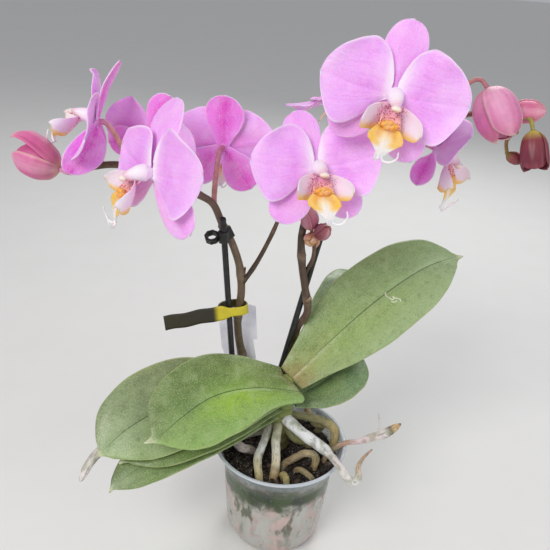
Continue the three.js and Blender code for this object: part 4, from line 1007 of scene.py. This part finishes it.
def build_lip(flower):
    size, yaw, pitch, roll, swing = flower.lip
    yaw, pitch, roll = map(math.radians, (yaw, pitch, roll))
    matrix = (flower_frame(flower) @ turned((yaw, "Y"), (-pitch, "X"), (roll, "Z"))).T
    k = size * flower.width / 70
    front = math.cos(yaw) * math.cos(pitch)
    foot = CORE_RADIUS / math.sqrt(1 - front ** 2 + (front / CORE_FLATNESS) ** 2) + GAP
    shape = Shape()

    def at(x, y, z):
        x, y, z = np.broadcast_arrays(np.asarray(x, float), y, z)
        return np.stack([k * x, k * y, foot + k * (z - 3)], -1)

    def put(points, faces, tint, throat=0.0):
        mark = np.zeros(points.shape)
        mark[:, 0] = throat
        shape.add(points @ matrix + flower.at, faces, tint=tint, mark=mark)

    def stalk(route, radius, sides, steps, tint):
        curve = Curve([at(*q) for q in route])
        u = np.linspace(0, 1, steps)
        points, faces, (along, _) = tube(curve.at(u), k * radius(u), sides)
        put(points, faces, colour_along(tint, along / along.max()))

    # the column and its anther cap
    stalk([(0, 0.2, 3), (0, -1.0, 6.4), (0, -2.8, 10), (0, -4.6, 13)],
          lambda u: through({0: 3.2, 0.15: 4.2, 0.4: 3.9, 0.75: 2.8, 1: 1.9}, u), 28, 24,
          {0: 0xFAE0F8, 0.5: 0xFEF0FB, 0.8: 0xFCE6F0, 1: 0xF0C4D4})
    cap, faces = ball([2.5 * k, 1.6 * k, 1.9 * k], 12, 18)
    put(cap + at(0, -5.6, 13.9), faces,
        mixed(0xFCEADA, 0xE2A682, clamp(-cap[:, 1] / k * 0.7)))

    # the throat's floor, the two side lobes and the middle lobe
    def trough(t, s):
        half = through({0: 2.4, 0.4: 4.4, 1: 5.6}, t)
        return at(s * half, -3.0 - 11.6 * t, 5.2 + 5.4 * t + 2.6 * s * s * np.minimum(1, 2 * t))

    points, faces, (t, s, _) = sheet(trough, 20, 20, 0.8)
    put(points, faces, colour_along({0: 0xEEBADC, 0.4: 0xE294B8, 0.75: 0xF0ACA0, 1: 0xFAA838}, t),
        clamp(t * 3))
    for sign in (1, -1):
        def lobe(t, s):
            half = through({0: 6.9, 0.3: 6.5, 0.65: 5.4, 0.9: 4.4, 1: 4.2}, t)
            half = half * rounded(t, 0.72, 0.04)
            x = 2.8 + 12.2 * (1 - (1 - t) ** 1.7) - 0.09 * half * s * s
            z = (7.4 + 9.8 * t ** 1.5 + 0.8 * s * t + 1.7 * (1 - t) * s * s * (s > 0)
                 - 1.2 * np.maximum(0, -s) ** 2 * t + 0.3 * np.sin(5 * t + 3 * s) * t)
            return at(sign * x, -10.6 - 4.0 * t ** 1.3 + s * half, z)

        points, faces, (t, s, side) = sheet(lambda t, s: lobe(t, sign * s), 30, 24,
                                            lambda t, s: 0.95 - 0.4 * np.abs(s) - 0.25 * t)
        s = s * sign
        tint = colour_along({0: 0xF2AACC, 0.25: 0xF6CCE4, 0.5: 0xF8DEF0, 1: 0xFAECF6}, t)
        tint = layered(tint, (YELLOW, clamp(-s * 2.2 - 0.8) * np.clip(1.3 - 0.5 * t, 0, 0.95)),
                       (0xFAD078, 0.7 * clamp((t - 0.86) / 0.14) * clamp(0.6 - s)))
        put(points, faces, tint, (side > 0) * clamp(1.25 - t * 3.4) * (s > -0.75))

    def middle(t, s):
        half = through({0: 5.4, 0.12: 7.9, 0.25: 9.0, 0.4: 8.8, 0.55: 7.0, 0.7: 4.6, 0.85: 2.6,
                        1: 1.2}, t)
        y = -14.4 - 15.0 * t - 1.4 * np.abs(s) * (t < 0.5) * np.sin(TAU * t)
        z = (10.5 + 6 * t - 6.5 * t * t + 0.24 * half * s * s
             + 0.8 * bell(s * half, 0.9) * (1 - t)
             - 0.9 * np.abs(s) ** 3 * np.sin(math.pi * t))
        return at(s * half + swing * t * t, y, z)

    points, faces, (t, s, _) = sheet(middle, 36, 26, lambda t, s: 1.0 - 0.45 * np.abs(s))
    tint = colour_along({0: 0xE48C32, 0.12: 0xECB054, 0.3: 0xF8DEB0, 0.5: 0xFBF0E2, 1: WHITE}, t)
    s = np.abs(s)
    tint = layered(tint, (YELLOW, clamp(s * 2.4 - 0.3) * clamp((0.7 - t) / 0.16)),
                   (0xDE941E, 0.5 * bell(s - 0.5, 0.16) * clamp((0.45 - t) / 0.2)))
    put(points, faces, tint, np.clip(0.5 - t * 4, 0, 0.5))
    # the warty callus
    for x, y, r in ((-2.7, -13.7, 1.5), (2.7, -13.6, 1.5), (-1.0, -14.7, 1.6),
                    (1.2, -14.5, 1.5), (0, -12.6, 1.5), (-1.5, -12.7, 1.1), (1.7, -12.6, 1.1)):
        knob, faces = ball([1.2 * r * k, r * k, 1.2 * r * k], 16, 22)
        knob = knob * (1 + 0.2 * noise3(knob, 4 + x, 0.7 * k)[:, None])
        tint = layered(ORANGE, (0xCE6010, np.clip(noise3(knob, 6, 0.5) * 2 - 0.8, 0, 0.6)),
                       # the pale yellow patches are painted highlights on the knobs, placed by
                       # noise
                       (0xFFD046, np.clip(noise3(knob, 9, 0.6) * 2 - 0.4, 0, 0.7)))
        put(knob + at(x, y, 12.0), faces, tint)
    # the tendrils, which the hidden bloom does without
    for sign, wide in () if "hidden" in flower.name else ((1, 1.0), (-1, 0.55)):
        way = [(0.5 / wide, -29, 10.2), (2.4, -30.6, 11), (5.4, -30, 13), (7, -27, 15.4),
               (6.2, -24.4, 17)]
        stalk([(sign * x * wide + swing, y, z) for x, y, z in way],
              lambda u: (0.72 - 0.34 * u) / k, 10, 34, {0: WHITE})
    shape.make(flower.name + "_throat", flower.name + "_lip", "lip", LIP)


# -------------------- spikes and buds

BARK_BROWN, DARK_STEM = 0x624C3E, 0x362A1E
PEDICEL, PINK_STALK, GREEN_STALK = 0xD09882, 0xE296C4, 0x9E9648
PINK_END, GREEN_END = {0: PEDICEL, 1: PINK_STALK}, {0: PEDICEL, 1: GREEN_STALK}
# a stalk's straight run up to its bloom, which is short at the far left bloom
STRAIGHT_RUN, SHORT_RUN, FAR_LEFT = 12, 5, 3

# route, start radius, end radius, the number of the bloom it carries, and its colours
LEFT_SPIKE = [
    ([[-4, 13, 90], [-12, 17.5, 96], [-24, 22, 110], [-31, 23.8, 128], [-34.5, 23, 152],
     [-33, 21.5, 175], [-34.5, 21.5, 191], [-40, 22.5, 207], [-47, 23, 220], [-53, 23, 232],
     [-61, 20, 238], [-74, 16, 247], [-90, 14, 253], [-108, 11, 255], [-120, 8, 254]], 2.9, 1.9,
     None, {0: 0x5C5430, 0.2: 0x564A30, 0.55: 0x78644E, 0.8: 0x685044, 1: 0x5C422C}),
    ([[-118, 8.5, 254], [-127, 6, 251], [-133, 4.5, 250.5], [-136.5, 4, 252]], 1.9, 1.4, None,
     PINK_END),
    ([[-33, 21, 180], [-24, 20, 197], [-16, 21, 216], [-11, 22, 231]], 1.6, 1.2, None,
     {0: DARK_STEM, 1: 0x68543C}),
    ([[-84, 15, 251], [-83, 4, 256], [-79, -10, 262]], 1.5, 1.4, 2, PINK_END),
    ([[-102, 11.5, 254], [-102.5, 12, 260], [-106, 13, 269], [-110, 13, 274]], 1.5, 1.4, 3,
     {0: PEDICEL, 0.7: 0xDEA698, 1: PINK_STALK}),
    ([[-92, 14, 253], [-94, 20, 262], [-97, 27, 275]], 1.5, 1.4, 4, PINK_END),
    ([[-52, 23, 231], [-53, 30, 236], [-53, 42, 249]], 1.6, 1.5, 5, {0: PEDICEL, 1: 0xC47896}),
]
RIGHT_SPIKE = [
    ([[0, 14, 98], [-0.5, 22, 102], [1, 27, 112], [3, 30.5, 128], [5, 29.5, 145], [10.5, 22, 163],
     [7, 18.5, 184], [4, 16, 199], [2, 13, 222], [7, 12, 243], [18, 16, 262], [38, 22, 279],
     [62, 27, 290], [84, 32, 293], [100, 44, 293], [111, 47, 290], [118, 41, 286], [121, 35, 286]],
     2.7, 1.6, None, {0: 0x605430, 0.2: BARK_BROWN, 0.55: DARK_STEM, 0.8: 0x543E2A, 1: PEDICEL}),
    ([[6, 18, 192], [10, 17, 203], [10, 13, 214], [9, 12, 220]], 1.4, 1.1, None,
     {0: DARK_STEM, 1: 0x785442}),
    ([[10, 13.5, 213], [8, 12, 219], [7, 10, 226.5]], 1.1, 1, None, {0: PEDICEL}),
    ([[10, 14, 212], [12, 12, 217], [11, 9, 222.5]], 1.1, 1, None, {0: PEDICEL}),
    ([[12, 13, 253], [11, 4, 266], [7, -12, 274]], 1.5, 1.4, 1, PINK_END),
    ([[56, 26, 288], [52, 12, 300], [43, -2, 310]], 1.5, 1.4, 0, PINK_END),
    ([[57, 26, 289.3], [60, 24.5, 286], [66, 27, 286]], 1.5, 1.3, 6, PINK_END),
    ([[34, 21, 277], [29, 25, 286], [24, 29, 297], [19, 43, 305.5], [17, 57, 306]], 1.5, 1.3, 7,
     PINK_END),
    ([[77, 30.5, 292], [81, 34, 301], [89, 37, 311], [95, 38, 313], [99, 35, 309.3]], 1.4, 1.2,
     None, {0: PEDICEL, 1: 0xB06E78}),
    ([[118, 41, 286], [122, 40, 292], [127, 36, 294], [129, 31, 288.3]], 1.3, 1.1, None,
     {0: PEDICEL, 0.5: GREEN_STALK, 1: 0xA09846}),
    ([[110, 47, 290], [112.5, 47, 294.5], [118, 44, 296]], 1.2, 1, None, GREEN_END),
    ([[120, 36, 286], [117.5, 37, 280], [118.4, 34.3, 273.2]], 1.2, 1, None, GREEN_END),
]


def build_spike(name, stretches, seed):
    shape = Shape()
    for route, start, end, bloom, colours in stretches:
        if bloom is not None:
            back, centre = unit(FLOWERS[bloom].face), np.array(FLOWERS[bloom].at, float)
            run = SHORT_RUN if bloom == FAR_LEFT else STRAIGHT_RUN
            route = route[:-1] + [centre - back * run, centre - back]
        curve = Curve(route)
        joints, main = len(route) * 0.5, len(route) > 6
        u = np.linspace(0, 1, max(14, int(curve.length / 1.4)) + 1)
        if bloom is not None:
            u = u[u * curve.length < curve.length - 1.2]
        knuckle = np.sin(np.pi * u * joints) ** 12
        radius = (start + (end - start) * u) * (1 + (0.2 if main else 0.1) * knuckle)
        if bloom is not None:
            radius = radius * (1 + 0.25 * clamp((u - 0.8) / 0.2))
        points, faces, (along, _) = tube(curve.at(u), radius, 20, lambda where, turn: (
            0.035 * np.sin(5 * turn + where * 0.05)))
        share = along / curve.length
        shape.add(points, faces, tint=layered(
            colour_along(colours, share),
            (0x84705A, 0.7 * np.sin(np.pi * share * joints) ** 40 * main),
            (0x968270, 0.35 * clamp(noise3(points, seed, 3.0)))))
        for j in range(1, int(joints) + 1) if main else ():
            place = (j - 0.5) / joints
            if place < 0.97:
                add_bract(shape, curve, place, start + (end - start) * place, 2.4 * j + seed)
    shape.make(name + "_stalks", name, "spike", SPIKE)


def add_bract(shape, curve, place, radius, turn):
    """A small dry scale hugging the stalk above one of its joints."""
    centre, tangent = curve.at(place), curve.tangent(place)
    n = unit(np.cross(tangent, [0.3, 0.5, 0.8]))
    b = np.cross(tangent, n)

    def scale(t, s):
        a = turn + s * 1.5 * (1 - t) ** 0.8
        r = radius * 1.08 + 0.25 + 0.9 * t * t
        return (centre + tangent * (t * 5.0 - 0.6)[..., None]
                + r[..., None] * (n * np.cos(a)[..., None] + b * np.sin(a)[..., None]))

    points, faces, (t, _, _) = sheet(scale, 8, 8, 0.35)
    shape.add(points, faces, tint=colour_along({0: 0x5C4A34, 0.6: 0x967E62, 1: 0xB09C82}, t))


CLOSED = {0: 0.1, 0.05: 0.42, 0.18: 0.78, 0.42: 1, 0.65: 0.93, 0.85: 0.6, 0.95: 0.32, 1: 0.06}
OPENING = {0: 0.1, 0.05: 0.45, 0.18: 0.8, 0.42: 1, 0.65: 0.98, 0.85: 0.8, 1: 0.46}
BELL = {0: 0.22, 0.06: 0.46, 0.18: 0.74, 0.4: 0.94, 0.7: 1, 1: 0.88}

# base, tip, radius, profile, how far the first sepal lifts at its tip, the way it faces (0 is
# towards the viewer, then round the bud's length), and the colours from base to tip
BUDS = {
    "bud_left": ([-137, 4, 252.5], [-164, 8, 258.5], 10.2, CLOSED, 0.62, 84,
        {0: 0xDEB08C, 0.08: 0xCE7692, 0.5: 0xD6629C, 0.85: 0xE27CAA, 1: 0xF0CCBA}),
    "bud_right_large": ([99, 35, 309], [112, 23, 284], 12.3, OPENING, 0.0, -35,
        {0: 0xD48498, 0.2: 0xE898BE, 0.7: 0xDE7CAC, 0.95: 0xD67898, 1: 0xF2D6C8}),
    "bud_right_back": ([118, 44, 296], [137, 40, 298], 6.3, CLOSED, 0.0, -40,
        {0: 0xC8688A, 0.5: 0xD66A94, 1: 0xE496A4}),
    "bud_right_dark": ([129, 31, 288], [132, 22, 268], 7.6, BELL, 0.0, 20,
        {0: 0xCCC454, 0.12: 0xB0964C, 0.26: 0x8A3A42, 0.8: 0x702436, 1: 0x843844}),
    "bud_right_small": ([118.5, 34.3, 273], [127, 31.3, 269.5], 3.2, CLOSED, 0.0, 0,
        {0: 0x968C3E, 0.4: 0x964850, 1: 0x823842}),
    "bud_twig_upper": ([7, 10, 226], [3, 6, 240], 5, CLOSED, 0.0, 60,
        {0: 0xC49664, 0.25: 0xA85C6C, 0.6: 0xB2647C, 1: 0xCEA092}),
    "bud_twig_right": ([11, 9, 222], [16, 2, 231], 4.4, CLOSED, 0.0, 10,
        {0: 0x8C5446, 0.5: 0x8C4252, 1: 0xB06E6C}),
    "bud_twig_lower": ([8, 12, 219], [6, 3, 221], 3.6, CLOSED, 0.0, 40,
        {0: 0xCEA064, 0.5: 0xBE7C5C, 1: 0xDEB482}),
}


def build_buds():
    """Each bud: a plump core inside three sepals that overlap like roof tiles."""
    for name, (base, tip, radius, profile, lifted, facing, colours) in BUDS.items():
        axis = np.array(tip, float) - base
        length, axis = np.linalg.norm(axis), unit(axis)
        x = unit([0, -1, 0] + axis * axis[1])
        spin = np.stack([x, np.cross(axis, x), axis])
        codes = list(colours.values())
        dark = "dark" in name or "small" in name
        deep = 0x461620 if dark else 0xA03468
        shape = Shape()
        core = [(max(0.0, radius * 0.97 * float(through(profile, u)) * (
            1 if u < 0.9 else (1 - u) / 0.1 * 0.9 + 0.1) - 0.4), length * (0.02 + 0.95 * u))
            for u in np.linspace(0.02, 1, 22)[:-1]]
        points, faces = lathe([(0.0, 0.0)] + core + [(0.0, length * 0.965)], 40)
        shape.add(points @ spin + base, faces,
                  tint=mixed(deep, codes[2], 0.8 if lifted else 0.3))
        for j in range(3):
            centre = math.radians(facing + j * 120)
            lift = lifted if j == 0 else 0.0

            def surface(t, s):
                narrow = rounded(t, 0.72, 0.04)
                if profile is CLOSED:
                    narrow = 0.35 + 0.65 * narrow
                a = centre + s * 1.2 * narrow * (1 - 1.2 * lift * t ** 0.6)
                middle = np.sin(math.pi * t)
                r = radius * through(profile, t) + 0.1 + 0.5 * s * np.minimum(1, t * 6)
                r = r + lift * radius * (0.35 * np.sin(math.pi * t * 0.6)
                                         + 1.5 * np.maximum(0, t - 0.3) ** 1.3)
                r = r + (0.35 * bell(s, 1 / 6) - 0.25 * bell(s - 0.12, 1 / 9)
                         - 0.4 * np.abs(s) ** 6) * middle
                r = np.maximum(r, 0.25) + 0.35 * np.sin(9 * a + t * 4) * t * (profile is BELL)
                z = length * (t + lift * 0.12 * t ** 3)
                return np.stack([r * np.cos(a), r * np.sin(a), z], -1)

            points, faces, (t, s, _) = sheet(lambda t, s: surface(t, -s), 44, 30, 0.6)
            s, middle = -s, np.sin(math.pi * t)
            stripe = clamp(np.sin(s * 34) - 0.3) * clamp(1.2 - t)
            shape.add(points @ spin + base, faces, tint=layered(
                colour_along(colours, t), (codes[-1], 0.75 * clamp((s - 0.88) / 0.12)),
                # painted shade along the edge of the neighbouring sepal that overlaps this one
                (deep, 0.5 * bell(s + 0.72, 0.09) * middle),
                (deep, 0.45 * bell(s - 0.1, 0.035) * middle),
                (deep, (0.45 if lifted else 0.2) * stripe),
                # a painted highlight along each sepal, faint on the dark buds
                (0xFACEDE, 0.3 * bell(s - 0.45, 0.3) * (0.1 if dark else 1))))
        shape.make(name + "_sepals", name, "dark_bud" if dark else "bud", BUD)


# -------------------- stakes, clip, strap, tag

STRAP_ROUTE = [[-77, -6, 163], [-61, 1, 164], [-47, 8, 164.5], [-38, 12.5, 164],
               [-30, 17, 163.5], [-28.3, 21.5, 163], [-30.5, 25.5, 163], [-36, 26.8, 163],
               [-43, 22.5, 163.5], [-46, 17, 164], [-46.3, 12.5, 164]]


def build_supports():
    for name, foot, head in (("stake_left", [-29, 13, 54], [-46, 17, 226]),
                             ("stake_right", [-15, 22, 52], [14.5, 26, 216])):
        u = np.linspace(0.006, 0.993, 90)[:, None]
        points, faces, _ = tube(foot + np.subtract(head, foot) * u, 1.9, 24)
        make(name + "_rod", points, faces, name, "stake", STAKE)
    for name, material in (("spike_clip", CLIP), ("plant_tag", TAG)):
        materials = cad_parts[name].data.materials
        materials.clear()
        materials.append(material)
    route = Curve(STRAP_ROUTE)
    up = unit([-0.1, -0.12, 1])

    def band(t, s):
        half = through({0: 5.2, 0.42: 5.4, 0.5: 3.2, 1: 3}, t, level=True)
        bow = 0.35 * np.sin(t * 31) * (t < 0.4)
        return route.at(t) + up * (s * half + bow)[..., None]

    points, faces, (t, _, _) = sheet(band, 110, 8, 0.8)
    tint = colour_along({0: 0x34301E, 0.36: 0x2C281A, 0.40: 0xD6C42C, 0.62: 0xDECE34,
                         0.7: 0x605822, 1: 0x3C3820}, t)
    make("strap_band", points, faces, "label_strap", "strap", STRAP, tint=tint)


# -------------------- studio

CAMERA_PLACE, CAMERA_PITCH, CAMERA_ROLL = (-12.2, -324.7, 357.1), 26, 4.5
FOCAL_PIXELS, PICTURE_PIXELS, SENSOR = 610.0, 550.0, 36.0
FLOOR_REACH, FLOOR_HEIGHT, CLIP_START = 60000.0, -0.0005, 0.01
SKY, SKY_STRENGTH = (0.93, 0.95, 1.0, 1), 0.42
# place, what it is aimed at, size, power and colour, in metres and watts
LIGHTS = {
    "key": ((-0.6, -0.85, 1.05), (0, 0, 0.2), 0.7, 10, (1.0, 0.985, 0.97)),
    "fill": ((0.9, -0.6, 0.5), (0, 0, 0.2), 0.9, 3, (0.95, 0.97, 1.0)),
    "rim": ((0.3, 0.9, 0.9), (0, 0, 0.22), 0.6, 5, (1, 1, 1)),
}


def build_studio():
    points, faces = lathe([(0.0, 0.0), (3000.0, 0.0), (FLOOR_REACH, 0.0)], 64)
    floor = linked("floor", mesh_of("floor", points, faces))
    paper = Paint("floor_paper", Roughness=0.85)
    paper.set("Base Color", paper.mix(0xE8E7E4, 0xE2E1DE, paper.noise(60.0)))
    floor.data.materials.append(paper.material)
    floor.location.z = FLOOR_HEIGHT
    world = bpy.data.worlds.new("studio")
    world.use_nodes = True
    colour, strength = world.node_tree.nodes["Background"].inputs[:2]
    colour.default_value, strength.default_value = SKY, SKY_STRENGTH
    bpy.context.scene.world = world
    bpy.context.scene.view_settings.view_transform = "Standard"
    for name, (place, target, size, power, tone) in LIGHTS.items():
        light = bpy.data.lights.new(name, "AREA")
        light.shape, light.size, light.energy, light.color = "DISK", size, power, tone
        holder = linked(name, light)
        holder.location = place
        way = Vector(target) - Vector(place)
        holder.rotation_euler = way.to_track_quat("-Z", "Y").to_euler()
    data = bpy.data.cameras.new("camera")
    data.sensor_width, data.lens = SENSOR, FOCAL_PIXELS / PICTURE_PIXELS * SENSOR
    data.clip_start = CLIP_START
    camera = linked("camera", data)
    p, r = math.radians(CAMERA_PITCH), math.radians(CAMERA_ROLL)
    right, up = Vector((1, 0, 0)), Vector((0, math.sin(p), math.cos(p)))
    forward = Vector((0, math.cos(p), -math.sin(p)))
    matrix = Matrix((right * math.cos(r) + up * math.sin(r),
                     up * math.cos(r) - right * math.sin(r), -forward)).transposed().to_4x4()
    matrix.translation = Vector(CAMERA_PLACE) * MM
    camera.matrix_world = matrix
    bpy.context.scene.camera = camera


build_pot()
build_bark()
build_stem()
build_roots()
build_leaves()
for seed_, flower_ in enumerate(FLOWERS, 1):
    build_tepals(flower_, seed_)
    build_lip(flower_)
build_spike("spike_left", LEFT_SPIKE, 1)
build_spike("spike_right", RIGHT_SPIKE, 2)
build_buds()
build_supports()
build_studio()
